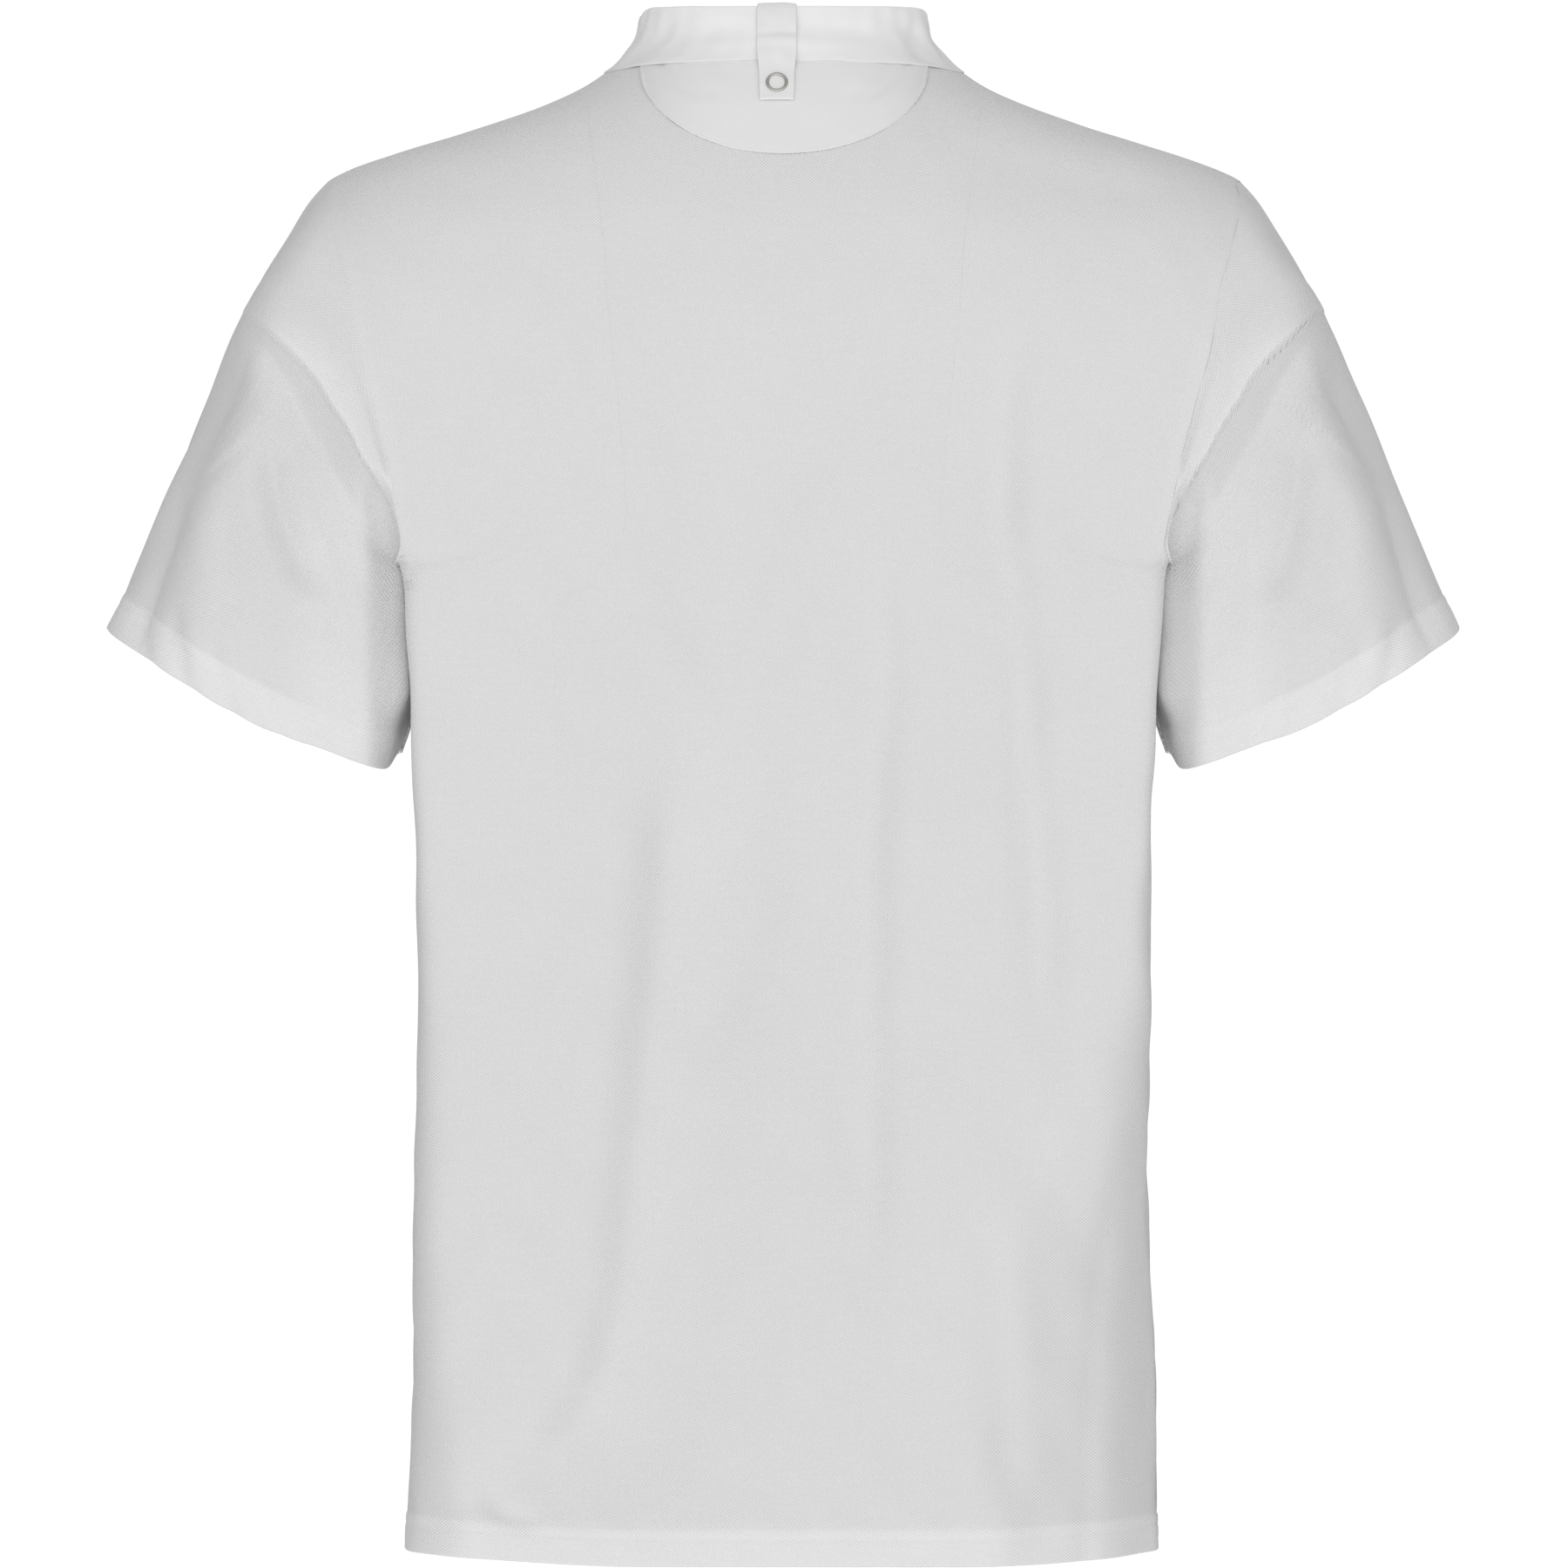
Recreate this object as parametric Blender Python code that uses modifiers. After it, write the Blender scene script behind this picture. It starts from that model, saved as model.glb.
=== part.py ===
"""Chef polo shirt, filled out as if worn, with nobody in it.

Short set-in sleeves, a stand collar, a half-moon patch at the back neck and a tab
over the collar that holds an apron tape, closed by a ring snap.

Frame: metres, +Z up, the wearer faces -Y and the wearer's left is +X.  The origin is
in the middle of the neck opening, level with the side neck points, where a wearer's
shoulders carry the garment.

The cloth is worked out in two steps.  A form gives the outer face of the cloth: rings
for the body, each set by a row of BODY_SECTIONS, and rings for a sleeve, each set by a
row of SLEEVE_SECTIONS.  A panel is then an open surface on its form, cut along its own
seams, and Solidify gives it its wall.
"""
import math

import bmesh
import bpy
import numpy as np
from mathutils import Vector

MM = 0.001

# --- cloth -------------------------------------------------------------------------
PIQUE = 1.2 * MM            # wall of the knitted panels
BAND_CLOTH = 2.2 * MM       # collar: two layers and a stay
PATCH_CLOTH = 1.0 * MM
TAB_CLOTH = 1.6 * MM        # tab and placket: a folded strip
SEAM_GAP = 0.5 * MM         # between two pieces at a seam
LAY_GAP = 1.0 * MM          # under a piece that lies on a panel
SLEEVE_GAP = 1.2 * MM       # from the armhole to the sleeve's first ring

# --- heights -----------------------------------------------------------------------
HEM = -738.0 * MM
UNDERARM = -248.0 * MM
SHOULDER = -54.0 * MM       # shoulder point, where the sleeve starts
NECK_SIDE = 0.4 * MM
NECK_BACK = 3.8 * MM
NECK_FRONT = -52.0 * MM
SLIT_END = -208.0 * MM      # foot of the slit under the placket

# --- neck and armhole --------------------------------------------------------------
NECK_HALF_WIDTH = 88.0 * MM
NECK_DROP = 1.6             # above 1 the neckline stays level longer past the side
SLIT_HALF_WIDTH = 0.4 * MM
ARMHOLE_MID = (SHOULDER + UNDERARM) / 2
ARMHOLE_HALF = (SHOULDER - UNDERARM) / 2
ARMHOLE_BITE = {"back": math.radians(40), "front": math.radians(38)}
ARMHOLE_ROUND = 0.85        # below 1 the armhole is rounder at the shoulder and underarm
ARM_SHARE = 0.6             # share of a panel's rows that is side seam, the rest is armhole
NECK_SHARE = 0.44           # share of its columns that is neckline, the rest is shoulder
CENTRE_AT_UNDERARM = -310 * MM  # where the underarm's row meets the centre line

# Body rings in millimetres.  The last three columns are the squareness of a ring at its
# side, at its back and at its front: 2 is an ellipse, more is boxier, less is a ridge.
BODY_COLUMNS = ("height", "half_width", "back", "front", "side_square", "back_square",
                "front_square")
BODY_SECTIONS = (
    (16.0, 76.0, 51.0, 47.0, 2.0, 2.2, 2.0),
    (0.4, 88.0, 60.0, 52.0, 1.9, 2.2, 2.0),
    (-10.0, 107.0, 66.0, 54.0, 1.8, 2.3, 1.75),
    (-26.0, 152.0, 73.0, 57.5, 1.75, 2.4, 1.65),
    (-54.0, 230.0, 83.0, 67.0, 1.8, 2.6, 2.1),
    (-80.0, 250.0, 90.0, 84.0, 1.9, 2.8, 2.5),
    (-125.0, 258.0, 97.0, 106.0, 2.0, 2.9, 2.8),
    (-176.0, 240.0, 99.5, 117.0, 2.0, 2.9, 2.9),
    (-220.0, 211.0, 99.5, 120.0, 2.1, 2.9, 2.9),
    (-248.0, 189.0, 99.0, 120.0, 2.3, 2.9, 2.9),
    (-300.0, 186.0, 97.0, 118.0, 2.5, 2.9, 2.9),
    (-445.0, 182.3, 93.0, 112.0, 2.5, 2.9, 2.9),
    (-600.0, 184.5, 99.0, 116.0, 2.4, 2.9, 2.9),
    (-740.0, 187.4, 104.0, 120.0, 2.4, 2.9, 2.9),
)

# Sleeve rings in millimetres, from the armhole (0) to the cuff (1).  top is the outer
# edge of the sleeve and under its seam, both in the plane of the shirt's two sides.
SLEEVE_COLUMNS = ("along", "top_x", "top_z", "under_x", "under_z", "back", "front", "square")
SLEEVE_SECTIONS = (
    (0.00, 230.0, -54.0, 190.0, -248.5, 66.0, 66.0, 2.0),
    (0.05, 238.2, -62.8, 190.2, -253.5, 66.0, 64.0, 2.1),
    (0.13, 249.0, -81.0, 190.0, -262.0, 63.0, 61.0, 2.3),
    (0.25, 263.2, -108.0, 189.6, -275.0, 58.0, 56.0, 2.5),
    (0.50, 289.2, -166.0, 189.4, -301.0, 52.0, 51.0, 2.8),
    (0.75, 313.6, -222.0, 190.4, -323.0, 48.0, 48.0, 2.8),
    (1.00, 337.4, -276.2, 195.3, -341.5, 46.0, 46.0, 2.7),
)
CUFF_BOW = {"back": 11.0 * MM, "front": 3.0 * MM}   # the cuff hangs lower in its middle
SEAM_FADE = 0.4             # share of the sleeve over which the armhole's own shape fades

# Largest folds of the back and front, in millimetres: a soft trough (or ridge, where
# depth is negative) runs from its head down to its foot and is bent sideways by bow.
FOLD_COLUMNS = ("side", "head_x", "head_z", "foot_x", "foot_z", "bow", "width", "depth")
BODY_FOLDS = (
    ("back", 66.0, -290.0, 132.0, -640.0, -18.0, 16.0, 4.5),
    ("back", -58.0, -230.0, -64.0, -540.0, 10.0, 16.0, 3.4),
    ("back", -98.0, -160.0, -130.0, -480.0, 8.0, 17.0, 3.4),
    ("back", -104.0, -560.0, -124.0, -715.0, 2.0, 17.0, 3.8),
    ("front", 62.0, -270.0, 96.0, -680.0, 12.0, 18.0, 3.8),
    ("front", -70.0, -280.0, -102.0, -680.0, -10.0, 18.0, 3.8),
    ("front", 8.0, -430.0, -14.0, -700.0, 6.0, 17.0, 3.0),
)

# Fold from the outer arm down to the underarm: a ridge with a trough below it.
# Its ends are given as turns round the sleeve in degrees and places along it.
SLEEVE_FOLD = {"turn_from": 20.0, "turn_to": 142.0, "along_from": 0.36, "along_to": 0.03,
               "ridge": 3.5 * MM, "trough": 7.5 * MM, "width": 0.075}

# --- neck patch, collar, tab, placket, snaps ------------------------------------------
PATCH_HALF_WIDTH = 71.5 * MM
PATCH_BOTTOM = -45.0 * MM

COLLAR_LAP = 15.0 * MM      # each end of the band passes the centre front by this much
COLLAR_PROUD = 1.7 * MM     # how far its lower edge stands out over the panels
COLLAR_RAISE = 1.4 * MM     # and how far above their necklines it starts
COLLAR_DIVE = (222.0, 252.0)  # turns in degrees between which its right end goes under
COLLAR_FADE = 0.4           # share of its height over which the seam's own shape fades
# Loops of the collar in millimetres: half width and depths of the loop, and its height
# at the side, the centre back and the centre front.
COLLAR_COLUMNS = ("up", "half_width", "back", "front", "side_z", "back_z", "front_z")
COLLAR_LOOPS = (
    (0.00, 88.0, 59.5, 67.0, 0.8, 4.2, -51.6),
    (0.22, 81.6, 58.6, 66.4, 8.4, 9.6, -45.0),
    (0.45, 76.2, 56.4, 65.0, 15.0, 15.4, -38.0),
    (1.00, 71.4, 50.6, 61.0, 30.4, 30.6, -22.0),
)

TAB_WIDTH_TOP = 19.6 * MM
TAB_WIDTH_FOOT = 17.2 * MM
TAB_SIDE = 3.5 * MM         # the tab sits a little to the wearer's left
TAB_TOP = 33.0 * MM
TAB_BEND = -4.0 * MM        # where it leaves the patch for the collar
TAB_FOOT = -18.0 * MM
SNAP_HEIGHT = -10.3 * MM

PLACKET_HALF_WIDTH = 15.0 * MM
PLACKET_END = -216.0 * MM
PLACKET_SNAPS = (-82.0 * MM, -133.0 * MM, -184.0 * MM)

SNAP_RADIUS = 4.75 * MM     # to the middle of the ring's wire
SNAP_WIRE = 0.6 * MM

WHITE_PIQUE = ((0.80, 0.80, 0.80), 0.85, 0.0)
WHITE_WOVEN = ((0.84, 0.84, 0.84), 0.80, 0.0)
NICKEL = ((0.55, 0.54, 0.52), 0.28, 1.0)


# ------------------------------------------------------------------------ arithmetic --
def table_column(columns, rows, name):
    """One named column of a table as an array."""
    place = columns.index(name)
    return np.array([row[place] for row in rows], dtype=float)


def smooth_through(knots, values, at):
    """Monotone cubic through the knots: no overshoot between two rows of a table."""
    if knots[0] > knots[-1]:
        knots, values = knots[::-1], values[::-1]
    step = np.diff(knots)
    rise = np.diff(values) / step
    same_way = rise[:-1] * rise[1:] > 0
    near, far = 2 * step[1:] + step[:-1], step[1:] + 2 * step[:-1]
    with np.errstate(divide="ignore", invalid="ignore"):
        mean = (near + far) / (near / rise[:-1] + far / rise[1:])
    slope = np.concatenate(([rise[0]], np.where(same_way, mean, 0.0), [rise[-1]]))
    at = np.asarray(at, dtype=float)
    cell = np.clip(np.searchsorted(knots, at) - 1, 0, len(step) - 1)
    part = (at - knots[cell]) / step[cell]
    low, high = values[cell], values[cell + 1]
    bend_low, bend_high = slope[cell] * step[cell], slope[cell + 1] * step[cell]
    return (low + part * (bend_low + part * (3 * (high - low) - 2 * bend_low - bend_high
            + part * (2 * (low - high) + bend_low + bend_high))))


def smooth_step(low, high, value):
    """0 below low, 1 above high, smooth between."""
    part = np.clip((value - low) / (high - low), 0.0, 1.0)
    return part * part * (3 - 2 * part)


def unit(vectors):
    return vectors / np.linalg.norm(vectors, axis=-1, keepdims=True)


def ring_reach(turn, squareness):
    """Distance from the centre to a superellipse of unit half sizes, in one direction."""
    cosine, sine = np.abs(np.cos(turn)), np.abs(np.sin(turn))
    return (cosine ** squareness + sine ** squareness) ** (-1 / squareness)


# --------------------------------------------------------------------------- the body --
def body_size(name, height):
    """One size of the body's ring at a height, in metres (squareness as it is)."""
    scale = 1.0 if name.endswith("square") else MM
    knots = table_column(BODY_COLUMNS, BODY_SECTIONS, "height") * MM
    values = table_column(BODY_COLUMNS, BODY_SECTIONS, name) * scale
    return smooth_through(knots, values, height)


def body_square(turn, height):
    """Squareness of a ring towards a turn: its side's, easing into its back's or front's."""
    side = body_size("side_square", height)
    end = np.where(np.sin(turn) > 0, body_size("back_square", height),
                   body_size("front_square", height))
    return side + (end - side) * np.sin(turn) ** 2


def body_form(turn, height):
    """Ring point: turn 0 is the wearer's left side, 90 degrees the centre back."""
    turn, height = np.broadcast_arrays(turn, height)
    depth = np.where(np.sin(turn) > 0, body_size("back", height), body_size("front", height))
    reach = ring_reach(turn, body_square(turn, height))
    x = body_size("half_width", height) * np.cos(turn) * reach
    return np.stack((x, depth * np.sin(turn) * reach, height), axis=-1)


def body_folds(points):
    """Inward depth of the folds at points of the form."""
    x, y, z = points[..., 0], points[..., 1], points[..., 2]
    depth_here = np.zeros_like(x)
    for row in BODY_FOLDS:
        fold = dict(zip(FOLD_COLUMNS, row))
        down = (fold["head_z"] * MM - z) / ((fold["head_z"] - fold["foot_z"]) * MM)
        inside = np.clip(down, 0.0, 1.0)
        middle = fold["head_x"] + (fold["foot_x"] - fold["head_x"]) * down
        middle = (middle + fold["bow"] * 4 * inside * (1 - inside)) * MM
        across = (x - middle) / (fold["width"] * MM)
        ends = smooth_step(-0.1, 0.3, down) * smooth_step(-0.1, 0.3, 1 - down)
        on_side = y > 0 if fold["side"] == "back" else y < 0
        depth_here += on_side * ends * fold["depth"] * MM * np.exp(-across ** 2)
    return depth_here


def body_point(turn, height, lift=0.0):
    """Point of the cloth's outer face, moved out along the normal by lift."""
    small = 1e-4
    turn, height = np.broadcast_arrays(turn, height)
    base = body_form(turn, height)
    across = body_form(turn + small, height) - body_form(turn - small, height)
    upward = body_form(turn, height + small) - body_form(turn, height - small)
    normal = unit(np.cross(across, upward))
    return base + normal * (lift - body_folds(base))[..., None]


def turn_at(x, height, side):
    """Turn at which the ring of a height has a given x, by halving the interval."""
    x, height = np.broadcast_arrays(x, height)
    sign = 1.0 if side == "back" else -1.0
    low, high = np.zeros(x.shape), np.full(x.shape, math.pi)
    for _ in range(40):
        middle = (low + high) / 2
        too_wide = body_form(sign * middle, height)[..., 0] > x
        low, high = np.where(too_wide, middle, low), np.where(too_wide, high, middle)
    return sign * (low + high) / 2


def armhole(around, side):
    """Turn and height of the armhole seam: around 0 is the shoulder, pi the underarm."""
    height = ARMHOLE_MID + ARMHOLE_HALF * np.cos(around)
    sign = 1.0 if side == "back" else -1.0
    turn = sign * ARMHOLE_BITE[side] * np.abs(np.sin(around)) ** ARMHOLE_ROUND
    return turn, height


def neck_height(across, side):
    """Height of the neckline where it is across (0 centre to 1 side) of its half width."""
    depth = np.sqrt(np.clip(1 - across ** 2, 0.0, 1.0))
    end = NECK_BACK if side == "back" else NECK_FRONT
    return NECK_SIDE + (end - NECK_SIDE) * depth ** NECK_DROP


def panel_sides(across, up, side):
    """Points on the four sides of half a panel, on the wearer's left.

    across runs 0 to 1 from the centre line to the side seam, and along the top from the
    centre of the neckline by way of the side neck point to the shoulder point.  up runs
    0 to 1 from the hem, and past ARM_SHARE up the armhole.
    """
    sign = 1.0 if side == "back" else -1.0
    edge_up = np.clip(up / ARM_SHARE, 0, 1)
    around = math.pi * (1 - np.clip((up - ARM_SHARE) / (1 - ARM_SHARE), 0, 1))
    arm_turn, arm_height = armhole(around, side)
    edge_height = np.where(up < ARM_SHARE, HEM + (UNDERARM - HEM) * edge_up, arm_height)
    edge_turn = np.where(up < ARM_SHARE, 0.0, np.abs(arm_turn))
    gap = np.where(up < ARM_SHARE, SEAM_GAP / 2, SEAM_GAP)
    edge_turn = np.maximum(edge_turn, gap / body_size(side, edge_height))
    edge = body_form(sign * edge_turn, edge_height)

    top_centre = NECK_BACK if side == "back" else NECK_FRONT
    centre_up = np.interp(up, (0, ARM_SHARE, 1), (HEM, CENTRE_AT_UNDERARM, top_centre))
    centre = body_form(sign * math.pi / 2, centre_up)

    hem_end = SEAM_GAP / 2 / body_size(side, HEM)
    hem = body_form(sign * (math.pi / 2 * (1 - across) + hem_end * across), HEM)

    round_neck = np.clip(across / NECK_SHARE, 0, 1) * math.pi / 2
    neck_z = neck_height(np.sin(round_neck), side)
    neck_turn = np.abs(turn_at(NECK_HALF_WIDTH * np.sin(round_neck), neck_z, side))
    neck_turn = np.maximum(neck_turn, SEAM_GAP / body_size(side, neck_z))
    out = np.clip((across - NECK_SHARE) / (1 - NECK_SHARE), 0, 1)
    shoulder_z = NECK_SIDE + (SHOULDER - NECK_SIDE) * out
    shoulder_turn = SEAM_GAP / body_size(side, shoulder_z)
    on_neck = across < NECK_SHARE
    top = body_form(sign * np.where(on_neck, neck_turn, shoulder_turn),
                    np.where(on_neck, neck_z, shoulder_z))
    return centre, edge, hem, top


def form_excess(points):
    """How far points lie outside the form, as a share of the ring's own size."""
    x, y, height = points[..., 0], points[..., 1], points[..., 2]
    depth = np.where(y > 0, body_size("back", height), body_size("front", height))
    wide, deep = x / body_size("half_width", height), y / depth
    turn = np.arctan2(deep, wide)
    return np.hypot(wide, deep) / ring_reach(turn, body_square(turn, height)) - 1


def onto_form(points):
    """Points set on the form by Newton steps along its slope."""
    small = 1e-5
    for _ in range(8):
        slope = np.stack([(form_excess(points + axis) - form_excess(points - axis)) / (2 * small)
                          for axis in np.eye(3) * small], axis=-1)
        steep = np.maximum((slope ** 2).sum(-1), 1.0)
        points = points - (form_excess(points) / steep)[..., None] * slope
    return points


def panel_place(across, up, side):
    """Turn and height on a panel: a Coons patch between its sides, set on the form.

    across runs -1 to 1 from the wearer's right to the left, up 0 to 1.
    """
    width = np.abs(across)
    centre, edge, hem, top = panel_sides(width, up, side)
    centre, edge = centre[:, None], edge[:, None]
    hem, top = hem[None], top[None]
    s, t = width[None, :, None], up[:, None, None]
    outer = int(np.argmax(width))
    inner = int(np.argmin(width))
    corners = ((1 - s) * ((1 - t) * hem[:, [inner]] + t * top[:, [inner]])
               + s * ((1 - t) * hem[:, [outer]] + t * top[:, [outer]]))
    patch = (1 - t) * hem + t * top + (1 - s) * centre + s * edge - corners
    patch = onto_form(patch)
    x, y, height = patch[..., 0], patch[..., 1], patch[..., 2]
    turn = np.arctan2(np.abs(y) / body_size(side, height), x / body_size("half_width", height))
    turn = np.where(across[None, :] >= 0, turn, math.pi - turn)
    return (turn if side == "back" else -turn), height


# -------------------------------------------------------------------------- a sleeve --
def sleeve_size(name, along):
    """One size of the sleeve's ring, in metres (squareness as it is)."""
    scale = 1.0 if name == "square" else MM
    knots = table_column(SLEEVE_COLUMNS, SLEEVE_SECTIONS, "along")
    values = table_column(SLEEVE_COLUMNS, SLEEVE_SECTIONS, name) * scale
    return smooth_through(knots, values, along)


def sleeve_ring(around, along):
    """Ring of the left sleeve: around 0 is its outer edge, 90 degrees its back."""
    top = np.stack((sleeve_size("top_x", along), 0 * along, sleeve_size("top_z", along)), -1)
    under = np.stack((sleeve_size("under_x", along), 0 * along, sleeve_size("under_z", along)), -1)
    behind = np.sin(around) > 0
    depth = np.where(behind, sleeve_size("back", along), sleeve_size("front", along))
    reach = ring_reach(around, sleeve_size("square", along))
    point = (top + under) / 2 + (top - under) / 2 * (np.cos(around) * reach)[..., None]
    point[..., 1] += depth * np.sin(around) * reach
    bow = np.where(behind, CUFF_BOW["back"], CUFF_BOW["front"]) * np.abs(np.sin(around)) * along ** 2
    down = unit(np.cross(top - under, np.array((0.0, 1.0, 0.0))))
    return point - down * bow[..., None]


def armhole_loop(around):
    """The armhole seam as a loop of points, around 0 to 2 pi through the back."""
    back, back_height = armhole(around, "back")
    front, front_height = armhole(around, "front")
    turn = np.where(np.sin(around) > 0, back, front)
    return body_point(turn, np.where(np.sin(around) > 0, back_height, front_height))


def sleeve_form(around, along):
    """Left sleeve: it leaves the armhole seam and fades into its own rings."""
    around, along = np.broadcast_arrays(around, along)
    own = sleeve_ring(around, along)
    shift = armhole_loop(around) - sleeve_ring(around, np.zeros_like(along))
    fade = (1 - smooth_step(0.0, SEAM_FADE, along))[..., None]
    return own + shift * fade


def sleeve_folds(around, along):
    """Outward height of the fold that runs from the outer arm to the underarm."""
    fold = SLEEVE_FOLD
    turned = np.degrees(np.where(around > math.pi, 2 * math.pi - around, around))
    part = (turned - fold["turn_from"]) / (fold["turn_to"] - fold["turn_from"])
    crest = fold["along_from"] + (fold["along_to"] - fold["along_from"]) * part
    away = (along - crest) / fold["width"]
    ends = smooth_step(-0.05, 0.3, part) * smooth_step(-0.12, 0.2, 1 - part)
    seam = smooth_step(0.0, 0.06, along)
    shape = fold["ridge"] * np.exp(-away ** 2) - fold["trough"] * np.exp(-(away - 1.5) ** 2)
    return ends * seam * shape


def sleeve_point(around, along, lift=0.0):
    """Point of the left sleeve's outer face, moved out along the normal by lift."""
    small = 1e-3
    around, along = np.broadcast_arrays(around, along)
    base = sleeve_form(around, along)
    ahead = np.clip(along + small, 0, 1)
    behind = np.clip(along - small, 0, 1)
    turned = sleeve_form(around + small, along) - sleeve_form(around - small, along)
    outward = sleeve_form(around, ahead) - sleeve_form(around, behind)
    normal = unit(np.cross(outward, turned))
    return base + normal * (lift + sleeve_folds(around, along))[..., None]


# ------------------------------------------------------------------------- the collar --
def collar_size(name, up):
    """One size of the collar's loop, in metres."""
    knots = table_column(COLLAR_COLUMNS, COLLAR_LOOPS, "up")
    values = table_column(COLLAR_COLUMNS, COLLAR_LOOPS, name) * MM
    return smooth_through(knots, values, up)


def collar_loop(around, up):
    """Loop of the collar's table: around -90 degrees is the centre front, 90 the back."""
    sine = np.sin(around)
    behind = sine > 0
    depth = np.where(behind, collar_size("back", up), collar_size("front", up))
    end_z = np.where(behind, collar_size("back_z", up), collar_size("front_z", up))
    side_z = collar_size("side_z", up)
    height = side_z + (end_z - side_z) * np.abs(sine) ** NECK_DROP
    return np.stack((collar_size("half_width", up) * np.cos(around), depth * sine, height), -1)


def neck_seam(around):
    """Lower edge of the collar, just off the panels' necklines."""
    across = np.abs(np.cos(around))
    behind = np.sin(around) > 0
    height = np.where(behind, neck_height(across, "back"), neck_height(across, "front"))
    x = NECK_HALF_WIDTH * np.cos(around)
    turn = np.where(behind, turn_at(x, height, "back"), turn_at(x, height, "front"))
    proud = COLLAR_PROUD * smooth_step(0.0, 0.6, np.abs(np.sin(around)))
    seam = body_point(turn, height, proud)
    return seam + np.array((0.0, 0.0, COLLAR_RAISE))


def collar_point(around, up, lift=0.0):
    """Outer face of the band: it leaves the neck seam and fades into its own loops."""
    around, up, lift = np.broadcast_arrays(around, up, lift)
    shift = neck_seam(around) - collar_loop(around, np.zeros_like(up))
    base = collar_loop(around, up) + shift * (1 - smooth_step(0.0, COLLAR_FADE, up))[..., None]
    outward = np.stack((np.cos(around), np.sin(around), 0 * around), axis=-1)
    return base + outward * lift[..., None]


# ------------------------------------------------------------------- objects from grids --
def new_object(name, mesh, collection):
    made = bpy.data.objects.new(name, mesh)
    collection.objects.link(made)
    return made


def grid_object(name, points, collection, flip=False, closed=False, skip=None):
    """Open surface through a grid of points.

    Its faces point to the side from which columns run right as rows run up, or to the
    other side with flip.  closed joins the last column to the first, skip leaves a cell out.
    """
    if flip:
        points = points[:, ::-1]
    rows, columns = points.shape[:2]
    shape = bmesh.new()
    verts = [shape.verts.new(point) for point in points.reshape(-1, 3)]
    for row in range(rows - 1):
        for column in range(columns if closed else columns - 1):
            beside = (column + 1) % columns
            if skip is not None and skip[row, column]:
                continue
            corners = (row * columns + column, row * columns + beside,
                       (row + 1) * columns + beside, (row + 1) * columns + column)
            shape.faces.new([verts[corner] for corner in corners])
    mesh = bpy.data.meshes.new(name)
    shape.to_mesh(mesh)
    shape.free()
    return new_object(name, mesh, collection)


def add_wall(made, thickness):
    """Cloth wall behind the outer face, whose cells are first cut on their short diagonals."""
    cut = made.modifiers.new("triangles", "TRIANGULATE")
    cut.quad_method = "SHORTEST_DIAGONAL"
    solidify = made.modifiers.new("wall", "SOLIDIFY")
    solidify.thickness = thickness
    solidify.offset = -1.0


def make_panel(name, side, collection):
    """Back or front, from the hem to the neckline and from side seam to side seam."""
    rows = np.concatenate((np.linspace(0, ARM_SHARE, 9)[:-1], np.linspace(ARM_SHARE, 1, 12)))
    half = np.concatenate((np.linspace(0.0, NECK_SHARE, 9)[:-1], np.linspace(NECK_SHARE, 1, 7)))
    if side == "front":
        half[0] = SLIT_HALF_WIDTH / body_size("half_width", UNDERARM)
        columns = np.concatenate((-half[::-1], half))
    else:
        columns = np.concatenate((-half[:0:-1], half))
    turn, height = panel_place(columns, rows, side)
    skip = None
    if side == "front":
        middle = len(half) - 1
        skip = np.zeros((len(rows) - 1, len(columns) - 1), dtype=bool)
        skip[:, middle] = height[1:, middle] > SLIT_END
    points = body_point(turn, height)
    made = grid_object(name, points, collection, flip=side == "back", skip=skip)
    add_wall(made, PIQUE)
    return made


def make_sleeve(name, sign, collection):
    """Set-in sleeve, from just off the armhole seam to the cuff."""
    along = np.array((0.0, 0.04, 0.1, 0.17, 0.25, 0.34, 0.44, 0.56, 0.7, 0.85, 1.0))
    around = np.arange(28) * (2 * math.pi / 28)
    points = sleeve_point(around[None, :], along[:, None])
    points[0] += seam_clearance(around)
    points[..., 0] *= sign
    made = grid_object(name, points, collection, flip=sign > 0, closed=True)
    add_wall(made, PIQUE)
    return made


def seam_clearance(around):
    """Shift of the sleeve's first ring that keeps its wall clear of the panels' walls."""
    small = 1e-3
    turned = armhole_loop(around + small) - armhole_loop(around - small)
    next_ring = sleeve_form(around, np.full_like(around, 0.03)) - armhole_loop(around)
    sleeve_normal = unit(np.cross(next_ring, turned))
    back, back_height = armhole(around, "back")
    front, front_height = armhole(around, "front")
    turn = np.where(np.sin(around) > 0, back, front)
    height = np.where(np.sin(around) > 0, back_height, front_height)
    body_normal = unit(body_point(turn, height, 1 * MM) - body_point(turn, height))
    bend = np.arccos(np.clip((sleeve_normal * body_normal).sum(-1), 0.5, 1.0))
    shift = SLEEVE_GAP + 2 * PIQUE * np.tan(bend / 2)
    return shift[:, None] * np.array((1.0, 0.0, 0.0))


def make_patch(name, collection):
    """Half moon on the back panel: a half ellipse that hangs from the neck seam."""
    spread = np.linspace(-84, 84, 17)
    across = np.sin(np.radians(spread))
    x = PATCH_HALF_WIDTH * across
    top = neck_height(x / NECK_HALF_WIDTH, "back") - SEAM_GAP
    bottom = NECK_SIDE + (PATCH_BOTTOM - NECK_SIDE) * np.cos(np.radians(spread))
    down = np.linspace(0, 1, 6)[:, None]
    height = top + (bottom - top) * down
    turn = turn_at(np.broadcast_to(x, height.shape), height, "back")
    points = body_point(turn, height, LAY_GAP + PATCH_CLOTH)
    made = grid_object(name, points, collection)
    add_wall(made, PATCH_CLOTH)
    return made


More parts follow.
